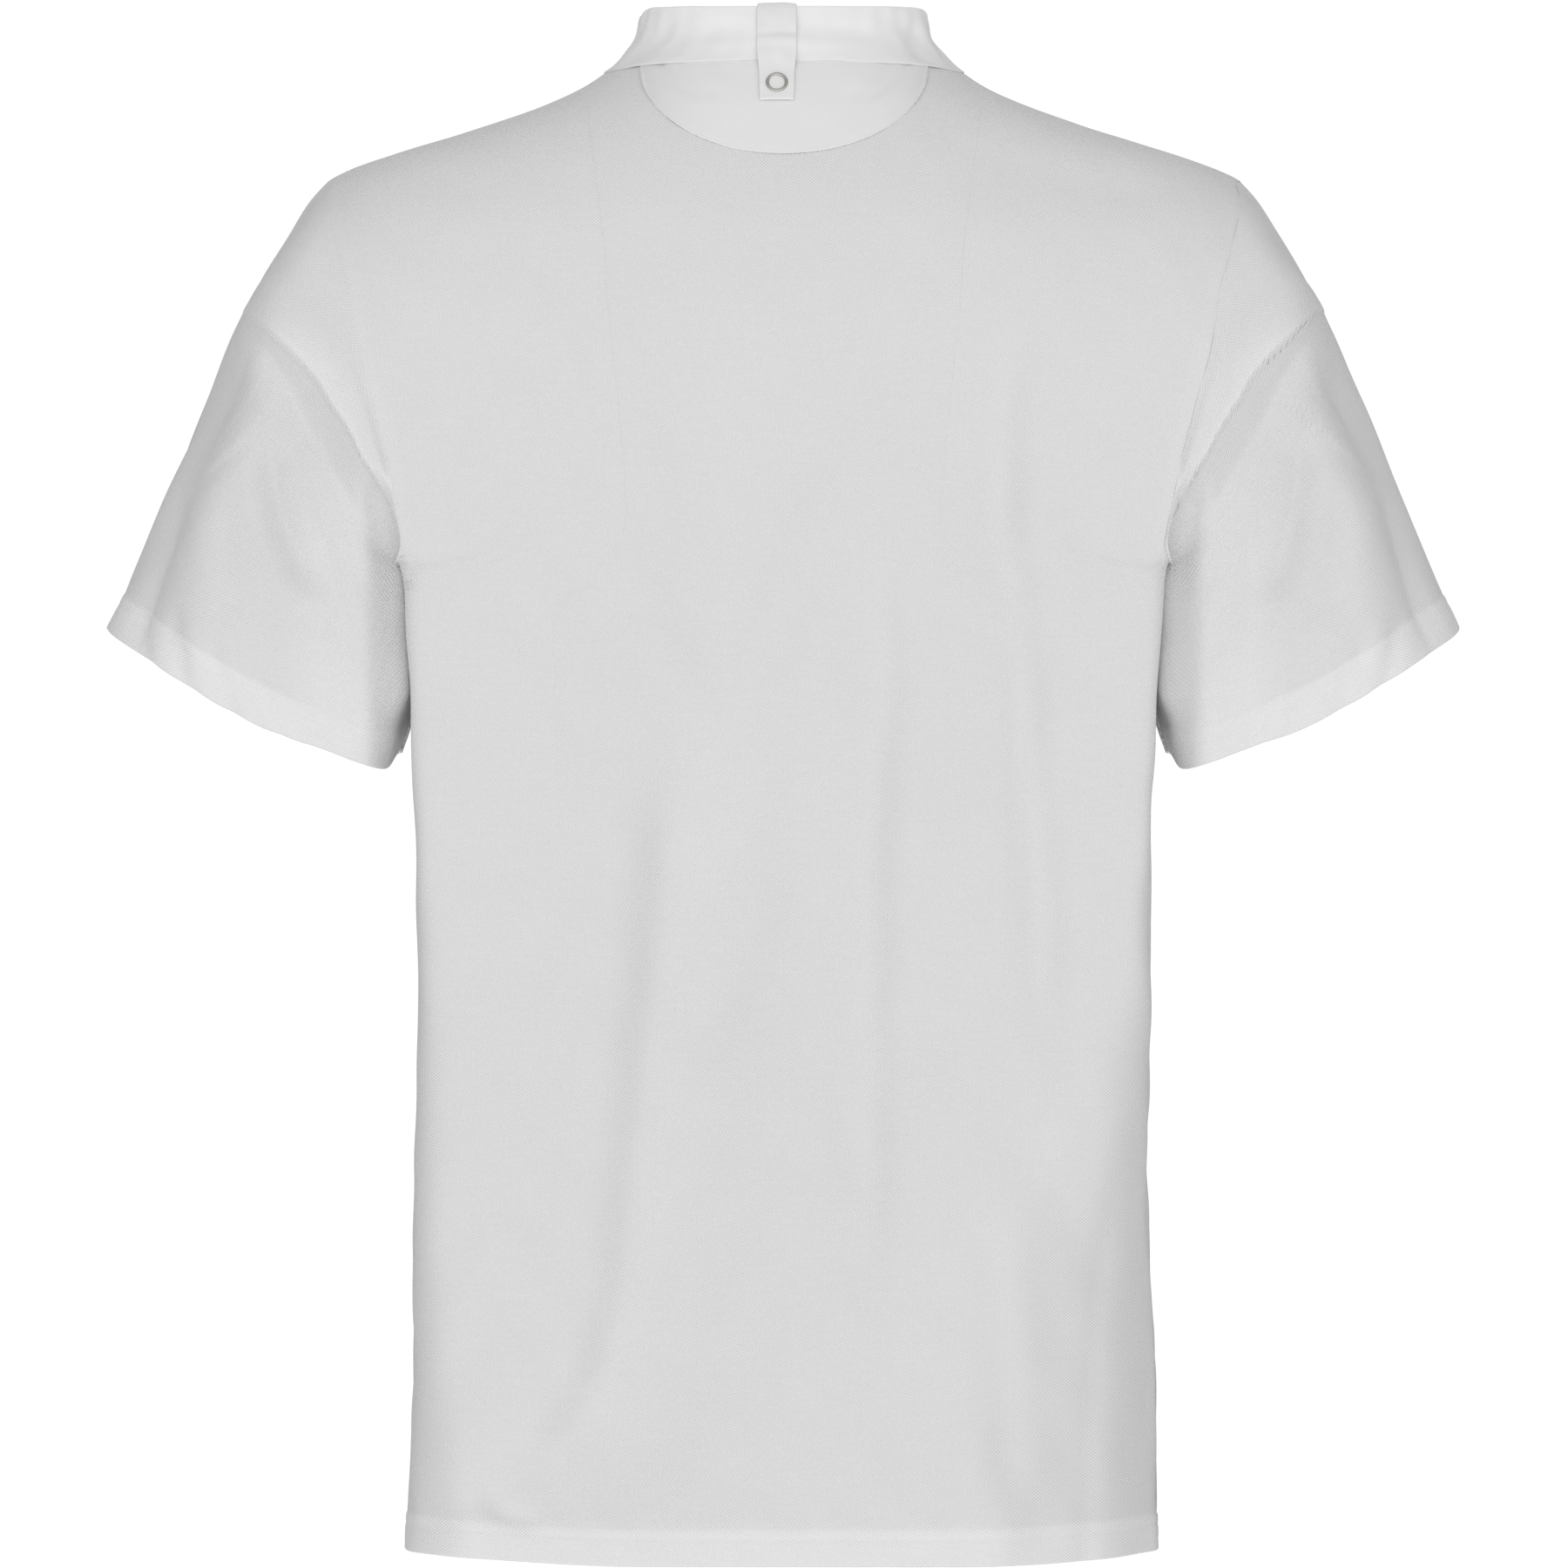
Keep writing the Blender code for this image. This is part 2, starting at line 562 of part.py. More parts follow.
def make_collar(name, collection):
    """Band round the neck whose ends lap at the centre front, left end outside."""
    lap = math.asin(COLLAR_LAP / NECK_HALF_WIDTH)
    around = np.linspace(-math.pi / 2 - lap, 3 * math.pi / 2 + lap, 47)
    up = np.array((0.0, 0.2, 0.4, 0.7, 1.0))[:, None]
    under = smooth_step(*np.radians(COLLAR_DIVE), around)
    lift = -(BAND_CLOTH + LAY_GAP) * under
    points = collar_point(around[None, :], up, lift[None, :])
    made = grid_object(name, points, collection)
    add_wall(made, BAND_CLOTH)
    return made


def make_tab(name, collection):
    """Strip from the neck seam inside, over the collar's top edge, down on the patch."""
    share = np.linspace(-0.5, 0.5, 5)
    stand = LAY_GAP + TAB_CLOTH
    on_patch = LAY_GAP + PATCH_CLOTH + stand
    rows = []
    for height in np.linspace(TAB_FOOT, TAB_BEND, 3):
        width = np.interp(height, (TAB_FOOT, TAB_TOP), (TAB_WIDTH_FOOT, TAB_WIDTH_TOP))
        x = TAB_SIDE + width * share
        rows.append(body_point(turn_at(x, np.full_like(x, height), "back"), height, on_patch))
    x = TAB_SIDE + TAB_WIDTH_TOP * share
    ups = (0.2, 0.4, 0.7, 0.93)
    rows += [on_collar(x, up, stand) for up in ups]
    radius = BAND_CLOTH / 2 + stand
    for swing in np.radians((45.0, 90.0, 135.0)):
        crest = on_collar(x, 1.0, 0.0)
        crest[:, 1] += radius * np.cos(swing) - BAND_CLOTH / 2
        crest[:, 2] += radius * np.sin(swing) - BAND_CLOTH / 2
        rows.append(crest)
    rows += [on_collar(x, up, -BAND_CLOTH - stand) for up in ups[::-1]]
    made = grid_object(name, np.stack(rows), collection, flip=True)
    add_wall(made, TAB_CLOTH)
    return made


def on_collar(x, up, lift):
    """Points of the collar's back at given places across it."""
    around = np.arccos(x / collar_size("half_width", up))
    return collar_point(around, up, lift)


def make_placket(name, collection):
    """Strip that covers the slit of the front."""
    height = np.linspace(PLACKET_END, NECK_FRONT - 0.5 * MM, 9)[:, None]
    x = np.linspace(-1, 1, 5)[None, :] * PLACKET_HALF_WIDTH
    turn = turn_at(*np.broadcast_arrays(x, height), "front")
    points = body_point(turn, height, LAY_GAP + TAB_CLOTH)
    made = grid_object(name, points, collection)
    add_wall(made, TAB_CLOTH)
    return made


def make_snap(name, place, facing, collection):
    """Ring of a press stud: a torus with its axis along facing."""
    bpy.ops.mesh.primitive_torus_add(major_segments=18, minor_segments=5,
                                     major_radius=SNAP_RADIUS, minor_radius=SNAP_WIRE)
    made = bpy.context.object
    made.name = name
    for holder in list(made.users_collection):
        holder.objects.unlink(made)
    collection.objects.link(made)
    made.location = place
    made.rotation_mode = "QUATERNION"
    made.rotation_quaternion = Vector(facing).to_track_quat("Z", "Y")
    return made


def snap_on_body(name, x, height, side, lift, collection):
    """Ring seated on whatever lies lift above a panel."""
    turn = turn_at(np.array([x]), np.array([height]), side)
    low, high = (body_point(turn, np.array([height]), up)[0] for up in (0.0, 1 * MM))
    facing = unit(high - low)
    return make_snap(name, low + facing * (lift + SNAP_WIRE + SEAM_GAP), facing, collection)


def snap_on_collar(name, up, collection):
    """Ring at the centre front of the band."""
    front = np.array([-math.pi / 2])
    low, middle, high = (collar_point(front, np.array([at]))[0] for at in (up - 0.1, up, up + 0.1))
    facing = unit(np.cross(np.array((1.0, 0.0, 0.0)), high - low))
    return make_snap(name, middle + facing * (SNAP_WIRE + SEAM_GAP), facing, collection)


# ---------------------------------------------------------------------------- finishes --
def make_material(name, finish):
    colour, roughness, metallic = finish
    material = bpy.data.materials.new(name)
    material.use_nodes = True
    shader = material.node_tree.nodes["Principled BSDF"]
    shader.inputs["Base Color"].default_value = (*colour, 1.0)
    shader.inputs["Roughness"].default_value = roughness
    shader.inputs["Metallic"].default_value = metallic
    return material


def clear_scene():
    for old in list(bpy.data.objects):
        bpy.data.objects.remove(old, do_unlink=True)


def build_shirt():
    shirt = bpy.data.collections.new("chef_polo_shirt")
    bpy.context.scene.collection.children.link(shirt)
    pique, woven, nickel = (make_material(name, finish) for name, finish in
                            (("white_pique", WHITE_PIQUE), ("white_woven", WHITE_WOVEN),
                             ("nickel", NICKEL)))
    knitted = [make_panel("back_panel", "back", shirt),
               make_panel("front_panel", "front", shirt),
               make_sleeve("left_sleeve", 1.0, shirt),
               make_sleeve("right_sleeve", -1.0, shirt)]
    smooth = [make_patch("neck_patch", shirt),
              make_collar("stand_collar", shirt),
              make_tab("apron_tab", shirt),
              make_placket("front_placket", shirt)]
    on_tab = 2 * LAY_GAP + PATCH_CLOTH + TAB_CLOTH
    snaps = [snap_on_body("tab_snap", TAB_SIDE, SNAP_HEIGHT, "back", on_tab, shirt),
             snap_on_collar("collar_snap", 0.5, shirt)]
    for number, height in enumerate(PLACKET_SNAPS, start=1):
        snaps.append(snap_on_body(f"placket_snap_{number}", 0.0, height, "front",
                                  LAY_GAP + TAB_CLOTH, shirt))
    wearer = bpy.data.objects.new("where_the_wearer_holds_it", None)
    shirt.objects.link(wearer)
    for material, pieces in ((pique, knitted), (woven, smooth), (nickel, snaps)):
        for piece in pieces:
            piece.data.materials.append(material)
            piece.data.shade_smooth()
            piece.parent = wearer


clear_scene()
build_shirt()
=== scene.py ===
import math

import bpy
import numpy as np
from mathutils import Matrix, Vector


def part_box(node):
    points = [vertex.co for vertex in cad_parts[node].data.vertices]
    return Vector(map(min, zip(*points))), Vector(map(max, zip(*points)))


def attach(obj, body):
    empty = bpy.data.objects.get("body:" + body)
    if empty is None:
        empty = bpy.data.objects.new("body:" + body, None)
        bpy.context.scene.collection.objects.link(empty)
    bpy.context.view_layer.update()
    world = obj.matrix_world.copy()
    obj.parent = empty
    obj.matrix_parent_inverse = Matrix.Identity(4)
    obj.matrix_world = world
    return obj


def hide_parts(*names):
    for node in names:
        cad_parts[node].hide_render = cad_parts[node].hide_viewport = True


# Chef polo shirt, filled out as worn. Sizes are in millimetres, turned to metres where a mesh is made.
# The wearer faces -Y, +X is the wearer's left, and the origin is in the middle of the neck opening.
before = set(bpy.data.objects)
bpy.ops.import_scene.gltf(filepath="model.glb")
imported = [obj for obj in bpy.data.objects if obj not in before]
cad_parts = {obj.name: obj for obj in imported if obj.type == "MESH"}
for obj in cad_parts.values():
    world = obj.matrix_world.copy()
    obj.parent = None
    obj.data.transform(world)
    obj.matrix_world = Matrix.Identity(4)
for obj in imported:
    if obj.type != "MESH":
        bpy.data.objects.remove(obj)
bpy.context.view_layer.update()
mm = 0.001
print("frame loaded:", len(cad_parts), "pieces")


# arithmetic

def unit(vectors):
    return vectors / np.maximum(np.linalg.norm(vectors, axis=-1, keepdims=True), 1e-12)


def easeStep(low, high, value):
    # 0 below low, 1 above high, a cubic between
    part = np.clip((value - low) / (high - low), 0.0, 1.0)
    return part * part * (3 - 2 * part)


def bell(value, reach):
    return np.exp(-(value / reach) ** 2)


def smoothCurve(knots, values, blur):
    # monotone cubic through the knots, sampled finely and averaged over a bell of width blur
    knots, values = np.array(knots, float), np.array(values, float)
    if knots[0] > knots[-1]:
        knots, values = knots[::-1], values[::-1]
    step = np.diff(knots)
    rise = np.diff(values) / step
    near, far = 2 * step[1:] + step[:-1], step[1:] + 2 * step[:-1]
    with np.errstate(divide="ignore", invalid="ignore"):
        mean = (near + far) / (near / rise[:-1] + far / rise[1:])
    middle = np.where(rise[:-1] * rise[1:] > 0, mean, 0.0)
    slope = np.concatenate(([rise[0]], middle, [rise[-1]]))
    fineStep = (knots[-1] - knots[0]) / 2000
    margin = 3 * blur
    fine = np.arange(knots[0] - margin, knots[-1] + margin + fineStep, fineStep)
    at = np.clip(fine, knots[0], knots[-1])
    cell = np.clip(np.searchsorted(knots, at) - 1, 0, len(step) - 1)
    part = (at - knots[cell]) / step[cell]
    low, high = values[cell], values[cell + 1]
    bendLow, bendHigh = slope[cell] * step[cell], slope[cell + 1] * step[cell]
    sampled = low + part * (bendLow + part * (3 * (high - low) - 2 * bendLow - bendHigh
                            + part * (2 * (low - high) + bendLow + bendHigh)))
    sampled += np.where(fine < knots[0], slope[0] * (fine - knots[0]), 0.0)
    sampled += np.where(fine > knots[-1], slope[-1] * (fine - knots[-1]), 0.0)
    if blur > 0:
        half = int(margin / fineStep)
        weights = bell(np.arange(-half, half + 1) * fineStep, blur * math.sqrt(2))
        padded = np.pad(sampled, half, mode="reflect", reflect_type="odd")
        sampled = np.convolve(padded, weights / weights.sum(), mode="valid")
    return lambda wanted: np.interp(wanted, fine, sampled)


def spread(*stops):
    # positions from stop to stop, each stop after the first given as (position, spacing on the way to it)
    places = [np.array([stops[0]], float)]
    last = stops[0]
    for end, spacing in stops[1:]:
        count = max(1, int(round(abs(end - last) / spacing)))
        places.append(np.linspace(last, end, count + 1)[1:])
        last = end
    return np.concatenate(places)


def runLength(points, axis):
    # length along the lines of a grid of points, 0 where they start
    step = np.linalg.norm(np.diff(points, axis=axis), axis=-1)
    return np.concatenate((np.zeros_like(step.take([0], axis)), np.cumsum(step, axis=axis)), axis)


def halved(low, high, tooFar, count):
    # narrows the ranges low to high by halves, to where tooFar of their middle turns false
    for _ in range(count):
        middle = (low + high) / 2
        past = tooFar(middle)
        low, high = np.where(past, middle, low), np.where(past, high, middle)
    return (low + high) / 2


def unevenness(u, v, seed, lengths, stretch=1.0, count=18):
    # sum of plane waves of random direction and phase, about one high, stretched along v
    chance = np.random.default_rng(seed)
    total = np.zeros(np.broadcast(u, v).shape)
    for _ in range(count):
        heading = chance.uniform(0, 2 * math.pi)
        length = math.exp(chance.uniform(math.log(lengths[0]), math.log(lengths[1])))
        phase = chance.uniform(0, 2 * math.pi)
        run = (u * math.cos(heading) + v / stretch * math.sin(heading)) * 2 * math.pi / length
        total += np.sin(run + phase)
    return total / math.sqrt(count / 2)


# folds: each follows a path of (x, z) points drawn from its head to its foot

def alongPath(path, x, z):
    # signed distance of points from a rounded path (more than 0 is to the wearer's left of one that runs
    # down) and how far along it they are, 0 at its head and 1 at its foot
    x, z = np.broadcast_arrays(x, z)
    knots = np.array(path, float)
    run = np.concatenate(([0.0], np.cumsum(np.hypot(*np.diff(knots, axis=0).T))))
    fine = np.linspace(0, run[-1], 40)
    line = np.stack([smoothCurve(run, knots[:, axis], 0.0)(fine) for axis in (0, 1)], -1)
    start, step = line[:-1], np.diff(line, axis=0)
    length = np.hypot(*step.T)
    flat = np.stack((np.ravel(x), np.ravel(z)), -1)
    away = flat[:, None, :] - start[None]
    share = np.clip((away * step).sum(-1) / length ** 2, 0, 1)
    gap = away - share[..., None] * step
    far = np.hypot(gap[..., 0], gap[..., 1])
    nearest = far.argmin(axis=1)
    pick = np.arange(len(flat))
    side = step[nearest, 0] * away[pick, nearest, 1] - step[nearest, 1] * away[pick, nearest, 0]
    signed = far[pick, nearest] * np.where(side < 0, -1.0, 1.0)
    place = (nearest + share[pick, nearest]) / len(length)
    return signed.reshape(np.shape(x)), place.reshape(np.shape(x))


def foldRelief(folds, x, z):
    # outward height of all folds of a list at points of the form
    total = np.zeros(np.shape(x))
    for kind, path, depth, right, left in folds:
        across, place = alongPath(path, x, z)
        ends = easeStep(0.0, 0.25, place) * easeStep(0.0, 0.25, 1 - place)
        if kind == "trough":    # a bell dent with its own width on each side; a ridge where depth is below 0
            shape = -bell(across, np.where(across < 0, right, left))
        elif kind == "crease":  # a valley that is sharp on its right side and rounded on its left
            shape = -np.where(across < 0, np.clip(1 + across / right, 0, 1) ** 1.8, bell(across, left))
        elif kind == "overlap":     # a straight slope down on its left, its lip and foot soft, that rises slowly again
            past, soft, wide = np.clip(across, -60, 160), 1.2, right * (0.3 + 0.7 * easeStep(0.03, 0.27, place))
            ramp = soft * (np.logaddexp(0, past / soft) - np.logaddexp(0, (past - wide) / soft)) / right
            back = np.clip(1 - np.logaddexp(0, (past - wide) / 0.8) * 0.8 / left, 0, 1) ** 1.25
            shape = 0.2 * bell(across, 18) * (across < 0) - ramp * back
            ends = easeStep(0.0, 0.15, place)
        total += depth * ends * shape
    return total


def slump(bends, x, z, headway=0.35):
    # how far the cloth falls away towards the wearer's front past each bend line, by its slope
    total = np.zeros(np.shape(x))
    for path, slope, soft, sign, tail in bends:
        across, place = alongPath(path, x, z)
        past = np.clip(sign * across / soft, -12, 12)
        ends = easeStep(0.0, headway, place) * easeStep(-0.001, tail, 1 - place)
        total += slope * soft * np.log1p(np.exp(past)) * ends
    return total


# the body's form: rings of superellipses, one ring to a column of this table

body = {
    "hem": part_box("back_panel")[0][2] / mm, "underarm": -248.0, "shoulder": -54.0,
    "neckSide": 0.4, "neckBack": 3.8, "neckFront": -52.0, "neckHalfWidth": 88.0, "neckDrop": 1.6,
    "bite": math.radians(38), "armholeRound": 0.85, "underSquare": 4.0,
    "armShare": 0.6, "neckShare": 0.44, "centreAtUnderarm": -310.0, "slitEnd": -208.0, "slitHalf": 0.4,
    "wall": 1.2, "hemExtra": 0.5, "seamRound": 0.05, "blur": 6.0,
}
bodyRings = {
    "height":      [16, 0.4, -10, -26, -54, -80, -125, -176, -220, -248, -300, -445, -600, -740],
    "halfWidth":   [76, 88, 105, 149, 230, 250, 258, 240, 210, 188, 184.4, 180.6, 182.8, 185.6],
    "back":        [51, 60, 66, 73, 83, 89, 92, 91, 90, 89, 87, 84, 90, 96],
    "front":       [47, 52, 54, 57.5, 67, 84, 106, 117, 120, 120, 118, 112, 116, 120],
    "sideSquare":  [2.0, 1.9, 1.8, 1.75, 1.8, 1.9, 2.0, 2.0, 2.1, 2.3, 2.5, 2.5, 2.4, 2.4],
    "backSquare":  [2.2, 2.2, 2.3, 2.4, 2.8, 3.8, 5.6, 8.0, 12, 22, 32, 16, 12, 12],
    "frontSquare": [2.0, 2.0, 1.75, 1.65, 2.1, 2.5, 2.8, 2.9, 2.9, 2.9, 2.9, 2.9, 2.9, 2.9],
}
# how far round the back the armhole seam runs, in degrees, from the shoulder (0) to the underarm (180)
backBite = smoothCurve([0, 8, 25, 42, 58, 67, 85, 98, 109, 116, 126, 135, 141, 150, 157, 168, 180],
                       [0, 11, 28, 39.7, 45.4, 47.6, 49.2, 49.4, 49.2, 48.6, 47.2, 45.6, 44.2, 39, 31, 14, 0], 2.0)
bodySize = {name: smoothCurve(bodyRings["height"], values, body["blur"])
            for name, values in bodyRings.items() if name != "height"}


def ringReach(turn, square):
    # distance from the centre to a superellipse of unit half sizes
    cosine, sine = np.abs(np.cos(turn)), np.abs(np.sin(turn))
    return (cosine ** square + sine ** square) ** (-1 / square)


def bodySquare(turn, height):
    # squareness towards a turn: the side's, easing into the back's or the front's
    side = bodySize["sideSquare"](height)
    end = np.where(np.sin(turn) > 0, bodySize["backSquare"](height), bodySize["frontSquare"](height))
    return side + (end - side) * easeStep(0.0, 0.72, np.abs(np.sin(turn)))


def bodyForm(turn, height):
    # ring point: turn 0 is the wearer's left side, 90 degrees the centre back
    turn, height = np.broadcast_arrays(turn, height)
    depth = np.where(np.sin(turn) > 0, bodySize["back"](height), bodySize["front"](height))
    reach = ringReach(turn, bodySquare(turn, height))
    x = bodySize["halfWidth"](height) * np.cos(turn) * reach
    return np.stack((x, depth * np.sin(turn) * reach, height), -1)


def acrossForm(turn, height):
    # short step along the ring at a point, not of unit length
    small = 1e-4
    return bodyForm(turn + small, height) - bodyForm(turn - small, height)


# folds and bends: kind, path from head to foot, depth, then the widths on the right and on the left of the path
backFolds = [
    ("trough", [(50, -296), (54, -376), (62, -461), (69, -538), (76, -602), (88, -650), (112, -688), (146, -712),
                (180, -730)], 15.0, 58, 15),
    ("trough", [(-46, -200), (-48, -290), (-42, -400), (-42, -500), (-38, -640)], 7.0, 11, 20),
    ("trough", [(-108, -110), (-108, -220), (-116, -300), (-124, -400), (-132, -520)], 7.0, 11, 12),
    ("trough", [(-96, -140), (-94, -250), (-100, -380)], 4.0, 14, 30),
    ("trough", [(34, -110), (28, -300), (36, -520)], 8.0, 42, 30),
    ("trough", [(-70, -42), (-130, -56), (-190, -72)], 3.4, 16, 36),
    ("trough", [(-100, -560), (-105, -640), (-110, -716)], 4.0, 10, 14),
    ("trough", [(150, -702), (136, -716), (118, -719)], 3.0, 6, 5),
]
backBends = [
    ([(-124, -500), (-113, -560), (-105, -620), (-102, -680), (-100, -760)], 0.55, 4, -1, 0),
    ([(-190, -400), (-178, -470), (-168, -540), (-164, -640), (-163, -760)], 2.4, 8, -1, 0),
    ([(182, -400), (178, -480), (175, -560), (170, -640), (163, -690), (159, -720), (164, -760)], 0.8, 4, 1, 0),
]
frontFolds = [
    ("trough", [(62, -270), (70, -400), (84, -540), (98, -690)], 7.0, 40, 18),
    ("trough", [(-72, -280), (-76, -420), (-92, -560), (-104, -690)], 7.0, 18, 46),
    ("trough", [(10, -400), (4, -520), (-14, -700)], 4.2, 20, 18),
    ("trough", [(128, -330), (120, -450), (126, -560)], 4.0, 16, 14),
    ("trough", [(-134, -220), (-128, -330), (-138, -430)], 4.6, 14, 18),
    ("trough", [(-40, -230), (-34, -320), (-42, -400)], 3.0, 18, 16),
    ("trough", [(160, -150), (120, -190), (84, -250)], 3.6, 16, 14),
    ("trough", [(-164, -150), (-126, -200), (-92, -246)], 3.2, 14, 16),
]


def bodyRelief(base):
    # outward height of the folds and of the cloth's slight unevenness at points of the form
    x, y, z = base[..., 0], base[..., 1], base[..., 2]
    relief = np.where(y > 0, foldRelief(backFolds, x, z), foldRelief(frontFolds, x, z))
    relief = relief * easeStep(0, 45, np.abs(y))
    hung = unevenness(x, z, 5, (60, 150), stretch=2.6) + 0.5 * unevenness(x + y, z, 6, (22, 50), stretch=1.8)
    below = easeStep(-40, -150, z)
    return relief + hung * (0.16 + 0.44 * below)


def bodyPoint(turn, height, lift=0.0):
    # point of the cloth's outer face, moved out along the form's normal
    turn, height = np.broadcast_arrays(turn, height)
    base = bodyForm(turn, height)
    across = acrossForm(turn, height)
    upward = bodyForm(turn, height + 0.05) - bodyForm(turn, height - 0.05)
    normal = unit(np.cross(across, upward))
    point = base + normal * (lift + bodyRelief(base))[..., None]
    fallen = slump(backBends, base[..., 0], base[..., 2]) / bodySize["back"](base[..., 2])
    fallen = fallen - 0.04 * np.logaddexp(0, (fallen - 0.9) / 0.04)
    point[..., 1] *= np.where(base[..., 1] > 0, 1 - fallen, 1.0)
    # the hem rises a little towards the side seams
    rise = 5.5 * easeStep(70, 190, base[..., 0]) + 1.8 * easeStep(110, 190, -base[..., 0])
    point[..., 2] += rise * easeStep(-560, body["hem"], base[..., 2])
    return point


def turnAt(x, height, side):
    # turn at which the ring of a height has a given x, by halving the interval
    x, height = np.broadcast_arrays(x, height)
    sign = 1.0 if side == "back" else -1.0
    return sign * halved(np.zeros(x.shape), np.full(x.shape, math.pi),
                         lambda turn: bodyForm(sign * turn, height)[..., 0] > x, 36)


def armhole(around, side):
    # turn and height of the armhole seam: around 0 is the shoulder, pi the underarm, squarer below
    middle = (body["shoulder"] + body["underarm"]) / 2
    share = np.cos(around) * np.where(np.cos(around) < 0, ringReach(around, body["underSquare"]), 1.0)
    height = middle + (body["shoulder"] - body["underarm"]) / 2 * share
    if side == "front":
        return -body["bite"] * np.abs(np.sin(around)) ** body["armholeRound"], height
    at = np.abs((around + math.pi) % (2 * math.pi) - math.pi)
    return np.radians(backBite(np.degrees(at))), height


def neckHeight(across, side):
    # height of the neckline where it is across (0 centre to 1 side) of its half width
    depth = np.sqrt(np.clip(1 - across ** 2, 0.0, 1.0))
    end = body["neckBack"] if side == "back" else body["neckFront"]
    return body["neckSide"] + (end - body["neckSide"]) * depth ** body["neckDrop"]


def ringTable(side):
    # length round each ring from its centre line to a range of turns that ends a little past the side
    sign = 1.0 if side == "back" else -1.0
    heights = np.arange(body["hem"] - 4, 18.0, 1.0)
    turns = np.radians(np.arange(90, -31, -0.5))
    points = bodyForm(sign * turns[None, :], heights[:, None])
    return {"heights": heights, "turns": turns, "length": runLength(points, 1)}


def lengthAt(table, turn, height):
    turn, height = np.broadcast_arrays(turn, height)
    row = np.clip((height - table["heights"][0]), 0, len(table["heights"]) - 1.001)
    column = np.clip((table["turns"][0] - turn) / (table["turns"][0] - table["turns"][1]),
                     0, len(table["turns"]) - 1.001)
    i, j = row.astype(int), column.astype(int)
    up, right = row - i, column - j
    grid = table["length"]
    return ((grid[i, j] * (1 - right) + grid[i, j + 1] * right) * (1 - up)
            + (grid[i + 1, j] * (1 - right) + grid[i + 1, j + 1] * right) * up)


def turnAtLength(table, length, height):
    first, last = np.full(length.shape, table["turns"][-1]), np.full(length.shape, table["turns"][0])
    return halved(first, last, lambda turn: lengthAt(table, turn, height) > length, 30)


def panelPlace(across, up, side):
    # turn and height over a panel: a Coons patch between its centre line, side seam and armhole, hem,
    # neckline and shoulder, laid out flat as length round the ring against height
    table, armShare, neckShare = ringTable(side), body["armShare"], body["neckShare"]
    hem, underarm = body["hem"], body["underarm"]
    wide = np.abs(across)
    edgeUp = np.clip(up / armShare, 0, 1)
    around = math.pi * (1 - np.clip((up - armShare) / (1 - armShare), 0, 1))
    armTurn, armHeight = armhole(around, side)
    edgeHeight = np.where(up < armShare, hem + (underarm - hem) * edgeUp, armHeight)
    edge = np.stack((lengthAt(table, np.where(up < armShare, 0.0, np.abs(armTurn)), edgeHeight), edgeHeight), -1)
    topCentre = body["neckBack"] if side == "back" else body["neckFront"]
    level = 0.06            # up to here the rows are level, so that the hem's rows follow its stitches
    centreUp = np.interp(up, (0, level, armShare, 1),
                         (hem, hem + (underarm - hem) * level / armShare, body["centreAtUnderarm"], topCentre))
    centre = np.stack((0 * up, centreUp), -1)
    hemLine = np.stack((wide * lengthAt(table, 0.0, hem), 0 * wide + hem), -1)
    roundNeck = np.clip(wide / neckShare, 0, 1) * math.pi / 2
    neckZ = neckHeight(np.sin(roundNeck), side)
    neckTurn = np.abs(turnAt(body["neckHalfWidth"] * np.sin(roundNeck), neckZ, side))
    out = np.clip((wide - neckShare) / (1 - neckShare), 0, 1)
    shoulderZ = body["neckSide"] + (body["shoulder"] - body["neckSide"]) * out
    topZ = np.where(wide < neckShare, neckZ, shoulderZ)
    top = np.stack((lengthAt(table, np.where(wide < neckShare, neckTurn, 0.0), topZ), topZ), -1)
    centre, edge, hemLine, top = centre[:, None], edge[:, None], hemLine[None], top[None]
    s, t = wide[None, :, None], up[:, None, None]
    outer, inner = int(np.argmax(wide)), int(np.argmin(wide))
    corners = ((1 - s) * ((1 - t) * hemLine[:, [inner]] + t * top[:, [inner]])
               + s * ((1 - t) * hemLine[:, [outer]] + t * top[:, [outer]]))
    flat = (1 - t) * hemLine + t * top + (1 - s) * centre + s * edge - corners
    turn = turnAtLength(table, flat[..., 0], flat[..., 1])
    turn = np.where(across[None, :] >= 0, turn, math.pi - turn)
    return (turn if side == "back" else -turn), flat[..., 1]


# meshes from grids: rows run up and columns run right, as seen from outside

def gridNormals(points, closed=False):
    along = np.gradient(points, axis=0)
    if closed:
        around = np.roll(points, -1, 1) - np.roll(points, 1, 1)
    else:
        around = np.gradient(points, axis=1)
    return unit(np.cross(around, along))


def edgeDistance(points, closed=False):
    # length along the grid's lines to its nearest border
    up = runLength(points, 0)
    nearest = np.minimum(up, up[-1:] - up)
    if not closed:
        right = runLength(points, 1)
        nearest = np.minimum(nearest, np.minimum(right, right[:, -1:] - right))
    return nearest


